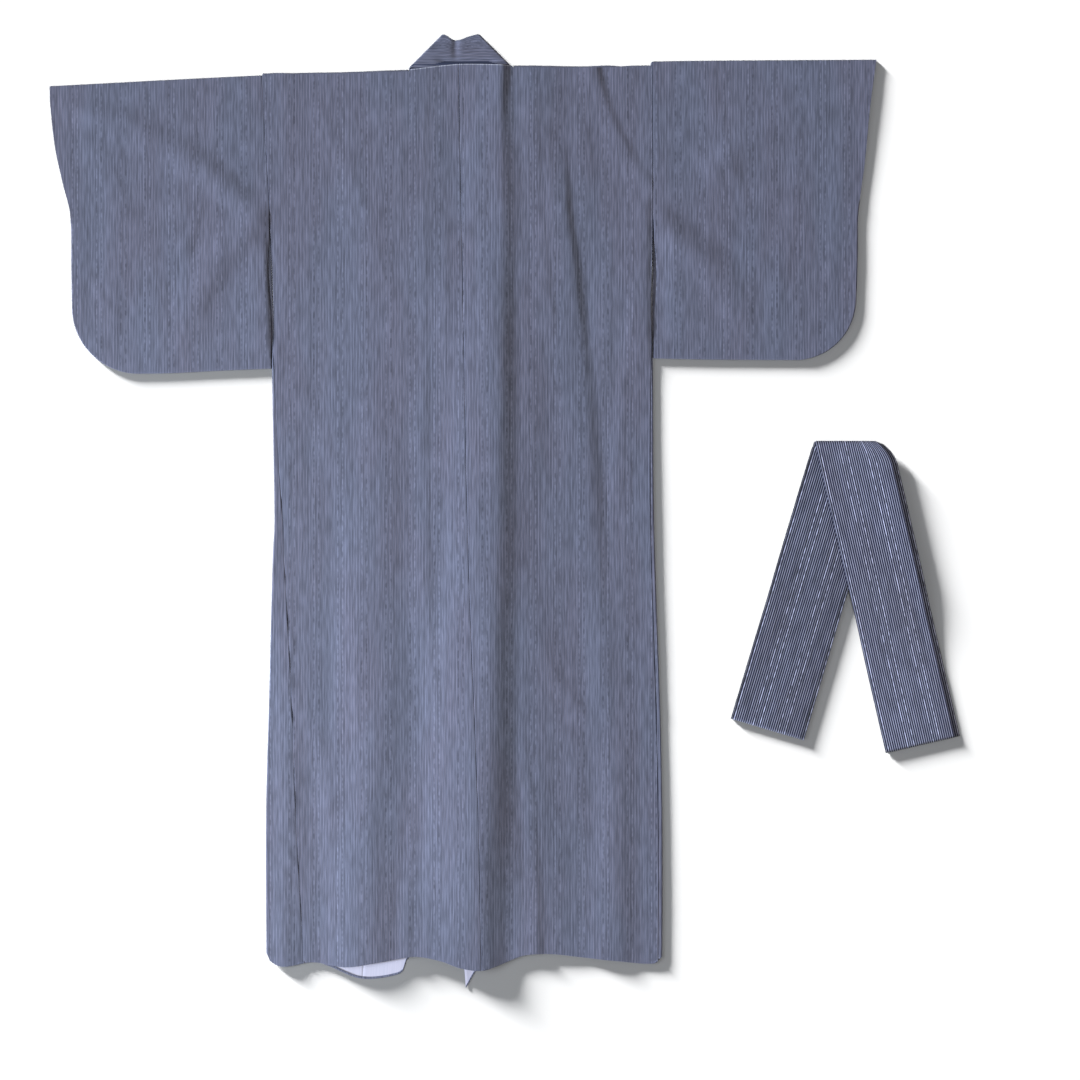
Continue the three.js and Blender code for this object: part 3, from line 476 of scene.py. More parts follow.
@dataclass
class Sheet:
    """A sheet of cloth as a grid through its middle, with the outer face along the grid's normal.

    points holds a place for each column and row, cut its place in the flat cut (across, along),
    both in millimetres, and there says which of them are cloth.
    """

    points: Array
    cut: Array
    there: Array

    @classmethod
    def of(cls, points: Array, cut: Array) -> Sheet:
        """A sheet with nothing cut away."""
        return cls(points, cut, np.ones(points.shape[:2], bool))

    def flipped(self) -> Sheet:
        """The sheet with its columns in the other order, which turns its outer face over."""
        return Sheet(*(np.flip(a, 0) for a in (self.points, self.cut, self.there)))

    def normals(self) -> Array:
        """The unit normals of the grid."""
        return unit(np.cross(np.gradient(self.points, axis=0), np.gradient(self.points, axis=1)))

    def turned_under(self, edge: Edge, width: float, gap: float, wall: float) -> Sheet:
        """The sheet with a narrow hem or seam allowance turned to the inside along one edge.

        Args:
            edge: the edge that is turned.
            width: how wide the turned part is.
            gap: the space between the cloth and its turned part.
            wall: the cloth's thickness.

        Returns:
            A new sheet whose outline is where the old one's was.
        """
        axis, last = edge.value
        flip = (lambda a: np.flip(a, axis)) if last else (lambda a: a)
        order = (lambda a: a) if axis == 0 else (lambda a: np.swapaxes(a, 0, 1))
        points, cut = order(flip(self.points)).copy(), order(flip(self.cut)).copy()
        normals, there = order(flip(self.normals())), order(flip(self.there))
        outward = unit(points[0] - points[1])
        radius = (wall + gap) / 2
        points[0] -= outward * (radius + wall / 2)
        steps = np.linalg.norm(np.diff(points, axis=0, prepend=points[:1]), axis=-1)
        lengths = np.cumsum(steps, axis=0)
        row = np.arange(points.shape[1])
        turn = [
            points[0] - normals[0] * radius
            + radius * (normals[0] * math.cos(angle) + outward * math.sin(angle))
            for angle in np.pi * np.arange(1, TURN_SEGMENTS + 1) / TURN_SEGMENTS
        ]
        distances = np.linspace(0, width, HEM_SEGMENTS + 1)[1:]
        turned = []
        for distance in distances:
            far = np.clip((lengths <= distance).sum(0), 1, len(points) - 1)
            start, end = lengths[far - 1, row], lengths[far, row]
            part = np.clip((distance - start) / np.maximum(end - start, 1e-6), 0, 1)[:, None]
            turned.append(mix(points[far - 1, row], points[far, row], part)
                          - unit(mix(normals[far - 1, row], normals[far, row], part)) * 2 * radius)
        run = unit(cut[0] - cut[1])
        extra = [cut[0] + run * k / TURN_SEGMENTS for k in range(1, TURN_SEGMENTS + 1)]
        extra += [cut[0] + run * distance for distance in distances]
        rows = [there[0] & there[1]] * len(extra)
        points = np.concatenate([np.array(turn + turned)[::-1], points])
        cut = np.concatenate([np.array(extra)[::-1], cut])
        there = np.concatenate([np.array(rows), there])
        return Sheet(flip(order(points)), flip(order(cut)), flip(order(there)))


def grid_mesh(name: str, sheet: Sheet, shift: Vector, weld: float = 0) -> Piece:
    """A mesh object from a sheet.

    Args:
        name: the object's name.
        sheet: the cloth.
        shift: the middle of the back neckline in the row frame, in metres.
        weld: the distance in millimetres under which points are joined, or 0.

    Returns:
        The object, at the origin, with its cut as a UV map in metres.
    """
    columns, rows = sheet.points.shape[:2]
    bm = bmesh.new()
    bmesh.ops.create_grid(bm, x_segments=columns - 1, y_segments=rows - 1, size=0.5)
    uv = bm.loops.layers.uv.new("cut")
    shares = np.array([vertex.co for vertex in bm.verts])[:, :2] + 0.5
    column = np.rint(shares[:, 0] * (columns - 1)).astype(int)
    row = np.rint(shares[:, 1] * (rows - 1)).astype(int)
    places = sheet.points[column, row] * MM + np.array(shift)
    cuts = sheet.cut[column, row] * MM
    for vertex, place in zip(bm.verts, places):
        vertex.co = place
    for face in bm.faces:
        face.smooth = True
        for loop in face.loops:
            loop[uv].uv = cuts[loop.vert.index]
    bm.verts.ensure_lookup_table()
    gone = [bm.verts[i] for i in np.flatnonzero(~sheet.there[column, row])]
    bmesh.ops.delete(bm, geom=gone, context="VERTS")
    if weld:
        bmesh.ops.remove_doubles(bm, verts=bm.verts, dist=weld * MM)
    mesh = bpy.data.meshes.new(name)
    bm.to_mesh(mesh)
    bm.free()
    piece = bpy.data.objects.new(name, mesh)
    bpy.context.scene.collection.objects.link(piece)
    return piece


def even_normals(piece: Piece) -> None:
    """Weighs the shading of a piece by the size of its faces."""
    piece.modifiers.new("normals", "WEIGHTED_NORMAL").weight = NORMAL_WEIGHT


def thicken(piece: Piece, wall: float) -> None:
    """Gives a sheet its thickness, with the second material on its inner face.

    Args:
        piece: the sheet.
        wall: its thickness, in millimetres.
    """
    solid = piece.modifiers.new("cloth", "SOLIDIFY")
    solid.thickness = wall * MM
    solid.offset = 0
    solid.material_offset = 1
    solid.material_offset_rim = 0
    even_normals(piece)


def closed_tube(name: str, sheet: Sheet, shift: Vector) -> Piece:
    """A closed mesh from a sheet whose first and last columns meet, with its ends filled.

    Args:
        name: the object's name.
        sheet: the cloth.
        shift: the middle of the back neckline in the row frame, in metres.

    Returns:
        The object, at the origin, with its faces outwards.
    """
    piece = grid_mesh(name, sheet, shift, weld=0.002)
    bm = bmesh.new()
    bm.from_mesh(piece.data)
    bmesh.ops.edgeloop_fill(bm, edges=[edge for edge in bm.edges if edge.is_boundary])
    bmesh.ops.recalc_face_normals(bm, faces=bm.faces)
    bm.to_mesh(piece.data)
    bm.free()
    even_normals(piece)
    return piece


def hand_over(piece: Piece, nodes: Sequence[str], flat: Span) -> Piece:
    """Declares a finished piece of cloth to the frame, and reports it.

    Args:
        piece: the finished piece.
        nodes: the solids that it stands for.
        flat: width and length of its cut, in millimetres.

    Returns:
        The piece.
    """
    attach(piece, "root")
    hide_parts(*nodes)
    log.info("%s: %d points, cut %.0f x %.0f mm", piece.name, len(piece.data.vertices), *flat)
    return piece


# ---- Finishes ----


class Nodes:
    """A node tree that is written as short expressions."""

    def __init__(self, name: str) -> None:
        """Starts a material with a Principled shader.

        Args:
            name: the material's name.
        """
        self.material = bpy.data.materials.new(name)
        self.material.use_nodes = True
        self.tree = self.material.node_tree
        self.shader = self.tree.nodes["Principled BSDF"]

    def add(self, kind: str, inputs: dict | None = None, **settings: object) -> bpy.types.Node:
        """Adds a node.

        Args:
            kind: the node's type.
            inputs: what to link or set each input to, by its name or number.
            **settings: the node's own properties.

        Returns:
            The node.
        """
        node = self.tree.nodes.new(kind)
        for key, value in settings.items():
            setattr(node, key, value)
        for key, value in (inputs or {}).items():
            self.feed(node.inputs[key], value)
        return node

    def feed(self, socket: Socket, value: object) -> None:
        """Links a socket to another, or sets its value.

        Args:
            socket: the input.
            value: the output to link it to, or the value to set.
        """
        if isinstance(value, Socket):
            self.tree.links.new(value, socket)
        else:
            socket.default_value = value

    def math(self, operation: str, *values: object) -> Socket:
        """The output of one Math node."""
        return self.add("ShaderNodeMath", dict(enumerate(values)), operation=operation).outputs[0]

    def blend(self, share: object, low: object, high: object, how: str = "MIX") -> Socket:
        """One colour laid over another.

        Args:
            share: how much of the second colour there is.
            low: the first colour.
            high: the second colour.
            how: the way that they are blended.

        Returns:
            The colour that comes of it.
        """
        node = self.add("ShaderNodeMix", data_type="RGBA", blend_type=how)
        for key, value in ((0, share), (6, low), (7, high)):
            self.feed(node.inputs[key], value)
        return node.outputs[2]

    def ramp(self, value: object, source: Span, target: Span) -> Socket:
        """A value carried softly from one range to another.

        Args:
            value: the value.
            source: the range that it comes from.
            target: the range that it goes to.

        Returns:
            The value in its new range.
        """
        inputs = dict(enumerate((value, *source, *target)))
        node = self.add("ShaderNodeMapRange", interpolation_type="SMOOTHSTEP")
        for key, each in inputs.items():
            self.feed(node.inputs[key], each)
        return node.outputs[0]

    def grain(self, cut: Socket, across: float, along: float, detail: float) -> Socket:
        """Soft noise between 0 and 1 that is drawn out along the cloth.

        Args:
            cut: the place in the cut.
            across: the size of its marks across the cut, in metres.
            along: their size along it.
            detail: how much finer noise lies on it.

        Returns:
            The noise.
        """
        drawn = self.add("ShaderNodeMapping", {"Vector": cut, "Scale": (1 / across, 1 / along, 1)})
        inputs = {"Vector": drawn.outputs[0], "Scale": 1.0, "Detail": detail}
        return self.add("ShaderNodeTexNoise", inputs).outputs[0]

    def surface(self, colour: object, roughness: object, specular: float, sheen: float) -> None:
        """Feeds the shader.

        Args:
            colour: the base colour.
            roughness: the roughness.
            specular: the specular level.
            sheen: the weight of the sheen that loose fibres give.
        """
        values = {"Base Color": colour, "Roughness": roughness, "Specular IOR Level": specular,
                  "Sheen Weight": sheen}
        for key, value in values.items():
            self.feed(self.shader.inputs[key], value)


@dataclass(frozen=True)
class StripedCotton:
    """Yarn-dyed cotton with fine lengthwise stripes, which follow the cut of each piece.

    pitch and line are the stripes' spacing and the light line's share of it, and streak is the
    strength of the uneven dyeing. Pairs of lighter dashed lines lie accent apart, pair from the
    middle of each pair, with a darker halo beside them. border gives where the dark edges of a
    strap begin, across its cut, and turned_at where it turns over; past it, on the under leg, the
    colour is darkened by painted shade. Lengths are in metres.
    """

    name: str
    ground: Colour
    line_colour: Colour
    warm: Colour
    pitch: float
    line: float
    accent: float
    accent_strength: float
    streak: float
    dash: float
    pair: float
    dimmest: float = -0.7
    halo: float = 0.0
    border: Span | None = None
    border_shade: Span = (0.4, 0.3)
    border_fade: float = 0.0015
    turned_at: float | None = None
    under_leg_painted_shade: float = 0.2
    under_leg_shade_fade: float = 0.01
    softness: float = 0.55
    bump: float = 0.15
    bump_height: float = 0.00012
    weave_pitch: float = 0.0009
    weave_share: float = 0.3
    fine_marks: Span = (0.0025, 0.032)
    long_marks: Span = (0.0033, 0.3)
    broad_marks: Span = (0.08, 0.3)
    dash_width: float = 0.007
    accent_edge: Span = (0.0007, 0.0018)
    halo_edge: Span = (0.0022, 0.0034)
    darkest: float = 0.1
    roughness: Span = (0.82, 0.95)

    def lines(self, n: Nodes, across: Socket) -> Socket:
        """How much of the light line there is at each place across the cut.

        Args:
            n: the material's nodes.
            across: the place across the cut.

        Returns:
            Its share, from 0 to 1.
        """
        turns = n.math("MULTIPLY", across, 2 * math.pi / self.pitch)
        wave = n.math("SINE", n.math("SUBTRACT", turns, math.pi / 2))
        edge = math.cos(math.pi * self.line)
        return n.ramp(wave, (edge - self.softness, edge + self.softness), (0, 1))

    def accents(self, n: Nodes, cut: Socket, across: Socket) -> tuple[Socket, Socket]:
        """The pairs of dashed lines.

        Args:
            n: the material's nodes.
            cut: the place in the cut.
            across: the same, across it alone.

        Returns:
            How light the lines are, and how much of the halo beside them there is.
        """
        folded = n.math("PINGPONG", across, self.accent / 2)
        place = n.math("ABSOLUTE", n.math("SUBTRACT", folded, self.pair))
        column = n.ramp(place, self.accent_edge, (1, 0))
        beside = n.math("SUBTRACT", n.ramp(place, self.halo_edge, (1, 0)), column)
        marks = n.grain(cut, self.dash_width, self.dash, 0.0)
        return n.math("MULTIPLY", column, n.ramp(marks, (0.38, 0.62), (self.dimmest, 1))), beside

    def strap_shade(self, n: Nodes, across: Socket, along: Socket, shade: Socket) -> Socket:
        """The shade of a strap: darker at its edges, and with painted shade on the under leg past its
        turn.

        Args:
            n: the material's nodes.
            across: the place across the cut.
            along: the place along it.
            shade: the shade before.

        Returns:
            The shade after.
        """
        if self.border:
            (left, right), (dark_left, dark_right) = self.border, self.border_shade
            rim = n.math("ADD", n.ramp(across, (left, left + self.border_fade), (dark_left, 0)),
                         n.ramp(across, (right, right + self.border_fade), (0, dark_right)))
            shade = n.math("SUBTRACT", shade, rim)
        # Painted shade: the under leg, past the turn, is darkened.
        if self.turned_at:
            turned = (self.turned_at, self.turned_at + self.under_leg_shade_fade)
            shade = n.math("SUBTRACT", shade, n.ramp(along, turned, (0, self.under_leg_painted_shade)))
        return shade

    def relief(self, n: Nodes, across: Socket, along: Socket, line: Socket) -> Socket:
        """The weave and the raised stripes, as a normal.

        Args:
            n: the material's nodes.
            across: the place across the cut.
            along: the place along it.
            line: how much of the light line there is.

        Returns:
            The normal.
        """
        turn = 2 * math.pi / self.weave_pitch
        threads = [n.math("SINE", n.math("MULTIPLY", way, turn)) for way in (across, along)]
        weave = n.math("MULTIPLY", n.math("MULTIPLY", *threads), self.weave_share)
        inputs = {"Height": n.math("ADD", weave, line), "Distance": self.bump_height,
                  "Strength": self.bump}
        return n.add("ShaderNodeBump", inputs).outputs[0]

    def material(self) -> bpy.types.Material:
        """Builds the cloth's material."""
        n = Nodes(self.name)
        cut = n.add("ShaderNodeUVMap", uv_map="cut").outputs[0]
        across, along = n.add("ShaderNodeSeparateXYZ", {0: cut}).outputs[:2]
        line = self.lines(n, across)
        fine = n.grain(cut, *self.fine_marks, 1.0)
        long = n.grain(cut, *self.long_marks, 1.0)
        broad = n.ramp(n.grain(cut, *self.broad_marks, 2.0), (0.35, 0.65), (0, 1))
        cool, warm = (n.blend(line, self.ground, light) for light in (self.line_colour, self.warm))
        accent, beside = self.accents(n, cut, across)
        streak = self.streak
        shade = n.math("ADD", n.ramp(fine, (0.28, 0.72), (1 - streak, 1 + streak)),
                       n.ramp(long, (0.3, 0.7), (-streak / 2, streak / 2)))
        shade = n.math("ADD", shade, n.math("MULTIPLY", accent, self.accent_strength))
        shade = n.math("SUBTRACT", shade, n.math("MULTIPLY", beside, self.halo))
        shade = n.math("MAXIMUM", self.strap_shade(n, across, along, shade), self.darkest)
        grey = n.add("ShaderNodeCombineColor", dict.fromkeys(range(3), shade)).outputs[0]
        colour = n.blend(1.0, n.blend(broad, cool, warm), grey, "MULTIPLY")
        n.surface(colour, n.ramp(fine, (0.2, 0.8), self.roughness), 0.25, 0.12)
        n.feed(n.shader.inputs["Normal"], self.relief(n, across, along, line))
        return n.material


@dataclass(frozen=True)
class PlainSide:
    """The reverse of the cloth: pale, and darkened by painted shade far inside the robe, away from its
    hem.

    shade_heights gives the heights between which the painted shade comes in, in the row frame and in
    metres.
    """

    name: str = "cloth_reverse"
    colour: Colour = (0.47, 0.45, 0.53, 1)
    shadow: Colour = (0.43, 0.42, 0.5, 1)
    inner_painted_shade: Colour = (0.026, 0.032, 0.064, 1)
    shade_heights: Span = (-0.7, -0.62)
    marks: Span = (0.002, 0.05)

    def material(self) -> bpy.types.Material:
        """Builds the reverse's material."""
        n = Nodes(self.name)
        cut = n.add("ShaderNodeUVMap", uv_map="cut").outputs[0]
        streaks = n.ramp(n.grain(cut, *self.marks, 2.0), (0.3, 0.7), (0, 1))
        pale = n.blend(streaks, self.shadow, self.colour)
        place = n.add("ShaderNodeSeparateXYZ", {0: n.add("ShaderNodeTexCoord").outputs["Object"]})
        # Painted shade: the reverse turns dark past these heights, far inside the robe.
        inside = n.ramp(place.outputs[1], self.shade_heights, (0, 1))
        n.surface(n.blend(inside, pale, self.inner_painted_shade), 0.92, 0.2, 0.1)
        return n.material


ROBE_CLOTH = StripedCotton(
    name="robe_pinstripe", ground=(0.08, 0.086, 0.124, 1), line_colour=(0.146, 0.156, 0.211, 1),
    warm=(0.151, 0.143, 0.19, 1), pitch=0.0026, line=0.36, accent=0.04, accent_strength=0.2,
    streak=0.22, dash=0.0085, pair=0.004, halo=0.06,
)
BELT_CLOTH = StripedCotton(
    name="belt_stripe", ground=(0.01, 0.012, 0.036, 1), line_colour=(0.36, 0.375, 0.49, 1),
    warm=(0.31, 0.31, 0.39, 1), pitch=0.0036, line=0.31, accent=0.0432, accent_strength=0.9,
    streak=0.2, dash=0.01, pair=0.0054, dimmest=0.1, halo=0.3, border=(0.003, 0.1175),
    turned_at=0.52, softness=0.3, bump=0.3,
)
# A paler copy of the robe's stripes, painted as a thin pale line along the back neck edge.
NECK_EDGE = StripedCotton(
    name="neck_edge", ground=(0.2, 0.21, 0.26, 1), line_colour=(0.4, 0.41, 0.48, 1),
    warm=(0.36, 0.36, 0.42, 1), pitch=0.0026, line=0.5, accent=0.04, accent_strength=0.2,
    streak=0.3, dash=0.0085, pair=0.004,
)
REVERSE = PlainSide()


# ---- Robe pieces ----


@dataclass
class RobePiece:
    """What the robe's pieces share: the form they follow, their finish and their declaration."""

    form: RobeForm
    shift: Vector
    outer: bpy.types.Material
    inner: bpy.types.Material
    hem_width: float = 3.0
    allowance: float = 8.0
    gap: float = 0.2

    def dress(self, piece: Piece) -> None:
        """Gives a piece the cloth's outside and its reverse."""
        for material in (self.outer, self.inner):
            piece.data.materials.append(material)

    def finish(self, kind: str, side: Side, sheet: Sheet, flat: Span, weld: float = 0) -> Piece:
        """Makes a piece from its sheet and hands it to the frame.

        Args:
            kind: what the piece is, as it stands in its name and its solid's.
            side: the robe's side.
            sheet: its cloth.
            flat: width and length of its cut, in millimetres.
            weld: the distance in millimetres under which points are joined, or 0.

        Returns:
            The finished object.
        """
        node = f"{kind}_{side.word}"
        piece = grid_mesh(f"robe_{node}", sheet, self.shift, weld)
        thicken(piece, self.form.cloth)
        self.dress(piece)
        return hand_over(piece, [node], flat)

    def turned(self, sheet: Sheet, *edges: tuple[Edge, float]) -> Sheet:
        """The sheet with several edges turned under.

        Args:
            sheet: the cloth.
            *edges: each edge, and the width of what is turned there.

        Returns:
            The cloth with its hems and seam allowances.
        """
        for edge, width in edges:
            sheet = sheet.turned_under(edge, width, self.gap, self.form.cloth)
        return sheet


@dataclass
class BodyPanel(RobePiece):
    """One body length: from the back hem over the shoulder to the front hem."""

    # The paler copy of the robe's stripes for the back neck edge.
    binding: bpy.types.Material | None = None
    neck_columns: int = 24
    flat_columns: int = 64
    roll_columns: int = 14
    back_rows: int = 236
    front_rows: int = 90
    roll_rows: int = 7
    cut_width: float = 352.0
    neck_edge: float = 1.4
    neck_spread: float = 80
    back_lip: float = 0.15
    front_lip: float = 0.3
    lip_start: float = 60
    flat_end: float = 1.7

    def seam_reach(self, side: Side, y: Array, layer: int) -> Array:
        """Where back and front end at the side.

        Args:
            side: the robe's side.
            y: the places along.
            layer: 1 for the back and -1 for the front.

        Returns:
            The distances round from the side edge.
        """
        form = self.form
        quarter = np.pi / 2 * form.side_radius(side, y)
        opened = form.opened(y)
        drift = SEAM_DRIFT[side](y)
        gape = SEAM_GAPE(y) / 2 if side is Side.LEFT else 0.2
        closed = drift + layer * (form.seam / 2 + gape / 2)
        return np.where(y > form.side_seam_top, layer * (form.seam / 2 + quarter * opened), closed)

    def back_sheet(self, side: Side, share: Array, t: Array) -> tuple[Array, Array]:
        """The back layer.

        Args:
            side: the robe's side.
            share: 0 at the centre seam, 1 at the side of the neck, 2 at the knee, 3 at the seam.
            t: 0 at the shoulder and 1 at the hem.

        Returns:
            The places, and how far across the cut each one lies.
        """
        form, sign = self.form, side.value
        edge_top = SIDE_EDGE[side](0)
        top_x = np.where(share < 1, sign * form.neck_half * share,
                         mix(sign * form.neck_half, edge_top, (share - 1) / 2))
        shoulder = SHOULDER(top_x)
        turn = np.where(share < 1, 0, (form.back(top_x, shoulder) - form.front) / 2)
        level = mix(shoulder - turn, -form.body_length, t)
        seam = self.seam_reach(side, level, 1)
        knee = np.maximum(np.pi / 2 * form.side_radius(side, level), seam + 2.5)
        middle = CENTRE_SEAM(level) + sign * form.seam / 2
        neck = mix(sign * form.neck_half, middle + sign * self.neck_spread, smooth(t))
        reach = form.reach_of(side, mix(middle, neck, share), level)
        start = form.reach_of(side, neck, level)
        reach = np.where(share > 1, mix(start, knee, share - 1), reach)
        reach = np.where(share > 2, mix(knee, seam, share - 2), reach)
        x, z = form.section(side, level, reach)
        closed = smooth((form.side_seam_top - level) / self.lip_start)
        lip = self.back_lip * (1 - smooth((reach - seam) / 4)) * closed
        z = z - (lip if side is Side.LEFT else -lip)
        y = mix(shoulder - turn, BACK_HEM(x), t)
        return np.stack([x, y, z], -1), form.cut_across(side, level, reach)

    def front_sheet(self, side: Side, share: Array, t: Array) -> tuple[Array, Array]:
        """The front layer.

        Args:
            side: the robe's side.
            share: 1 at the inner seam, 2 at the side edge and 3 at the side seam.
            t: 0 at the shoulder and 1 at the hem.

        Returns:
            The places, and how far across the cut each one lies.
        """
        form, sign, flat_end = self.form, side.value, self.flat_end
        top_x = mix(sign * form.neck_half, SIDE_EDGE[side](0), (share - 1) / 2)
        shoulder = SHOULDER(top_x)
        turn = (form.back(top_x, shoulder) - form.front) / 2
        level = mix(shoulder - turn, -form.body_length, t)
        quarter = np.pi / 2 * form.side_radius(side, level)
        seam = self.seam_reach(side, level, -1)
        at_collar = level > form.overlap_top
        inner = np.where(at_collar, COLLAR_SEAM[side](level), OVERLAP_SEAM[side](level))
        start = -form.reach_of(side, inner, level)
        low = np.minimum(-quarter, seam - 9)
        high = np.minimum(quarter, seam - 3)
        reach = mix(start, low, (share - 1) / (flat_end - 1))
        rolled = mix(low, high, (share - flat_end) / (2 - flat_end))
        reach = np.where(share > flat_end, rolled, reach)
        reach = np.where(share > 2, mix(high, seam, share - 2), reach)
        x, z = form.section(side, level, reach)
        lip = (1 - smooth((seam - reach) / 6)) * smooth((form.side_seam_top - level) / self.lip_start)
        z = z + lip * (SEAM_GAPE(level) / 2 if side is Side.LEFT else -self.front_lip)
        hem = np.where(reach > 0, BACK_HEM(x), FRONT_HEM[side](x))
        y = mix(shoulder - turn, hem, t)
        return np.stack([x, y, z], -1), form.cut_across(side, level, reach)

    def shoulder_roll(self, top: Array, bottom: Array) -> Array:
        """The rows that carry the cloth over the shoulder.

        Args:
            top: the back layer's last row.
            bottom: the front layer's first row.

        Returns:
            The rows between them, one place for each column and row.
        """
        radius = (top[:, 2] - bottom[:, 2]) / 2
        roll = []
        for k in range(1, self.roll_rows):
            angle = np.pi * (0.5 - k / self.roll_rows)
            place = mix(top, bottom, k / self.roll_rows)
            place[:, 1] = top[:, 1] + radius * math.cos(angle)
            place[:, 2] = bottom[:, 2] + radius + radius * math.sin(angle)
            roll.append(place)
        return np.stack(roll, 1)

    def build(self, side: Side) -> Piece:
        """Makes the body length of one side.

        Args:
            side: the robe's side.

        Returns:
            The finished piece.
        """
        share = np.concatenate([
            np.linspace(0, 1, self.neck_columns, endpoint=False),
            np.linspace(1, 2, self.flat_columns, endpoint=False),
            np.linspace(2, 3, self.roll_columns + 1),
        ])
        nearly = self.neck_edge / self.form.body_length
        back_t = np.append(np.linspace(1, nearly, self.back_rows - 1), 0)
        front_t = np.linspace(0, 1, self.front_rows)
        back, back_cut = self.back_sheet(side, *np.meshgrid(share, back_t, indexing="ij"))
        front, front_cut = self.front_sheet(
            side, *np.meshgrid(np.maximum(share, 1), front_t, indexing="ij")
        )
        roll = self.shoulder_roll(back[:, -1], front[:, 0])
        points = np.concatenate([back, roll, front], axis=1)
        there = np.ones(points.shape[:2], bool)
        there[: self.neck_columns, self.back_rows:] = False
        step = np.linalg.norm(np.diff(points, axis=1, prepend=points[:, :1]), axis=-1)
        along = np.broadcast_to(step[self.neck_columns + 8].cumsum(), points.shape[:2])
        over = np.repeat(front_cut[:, :1], self.roll_rows - 1, axis=1)
        across = np.concatenate([back_cut, over, front_cut], axis=1)
        sheet = Sheet(points, np.stack([across, along], -1), there)
        seams = [Edge.LAST_COLUMN, Edge.FIRST_COLUMN]
        if side is Side.LEFT:
            sheet = sheet.flipped()
            seams.reverse()
        sheet = self.turned(sheet, *((edge, self.allowance) for edge in seams),
                            (Edge.FIRST_ROW, self.hem_width), (Edge.LAST_ROW, self.hem_width))
        flat = (self.cut_width + 2 * self.allowance, float(along[0, -1]) + 2 * self.hem_width)
        piece = self.finish("body", side, sheet, flat)
        self.paint_neck_line(piece)
        return piece

    def paint_neck_line(self, piece: Piece) -> None:
        """Gives the edge of the back neckline a paler copy of the robe's stripes, as the piece's third
        material.

        Args:
            piece: the body length.
        """
        piece.data.materials.append(self.binding)
        for face in piece.data.polygons:
            x, y = ((face.center[axis] - self.shift[axis]) / MM for axis in (0, 1))
            near = abs(x) < self.form.neck_half and abs(y) < 4 * self.form.back_level
            if near and y > float(SHOULDER(x)) - self.neck_edge:
                face.material_index = 2


@dataclass
class OverlapPanel(RobePiece):
    """The narrow panel on the inner edge of a front, below the chest."""

    columns: int = 26
    rows: int = 110
    clearance: float = 4
    cut_width: float = 155

    def build(self, side: Side) -> Piece:
        """Makes the overlap panel of one side, with its outer face down.

        Args:
            side: the robe's side.

        Returns:
            The finished piece.
        """
        form = self.form
        top = form.overlap_top - self.clearance
        w, t = np.meshgrid(np.linspace(0, 1, self.columns), np.linspace(1, 0, self.rows),
                           indexing="ij")
        level = mix(top, -form.body_length, t)
        outer = OVERLAP_SEAM[side](level) - side.value * form.seam
        at_collar = level > form.band_end
        edge = np.where(at_collar, COLLAR_SEAM[side](level), FRONT_EDGE[side](level))
        x = mix(outer, edge, w)
        y = mix(top, FRONT_HEM[side](x), t)
        points = np.stack([x, y, form.front_level(side, x, level)], -1)
        sheet = Sheet.of(points, np.stack([np.abs(x - outer), -level], -1))
        if sheet.normals()[..., 2].mean() > 0:
            sheet = sheet.flipped()
        sheet = self.turned(sheet, (Edge.FIRST_ROW, self.hem_width))
        return self.finish("overlap", side, sheet,
                           (self.cut_width, top + form.body_length + self.hem_width))


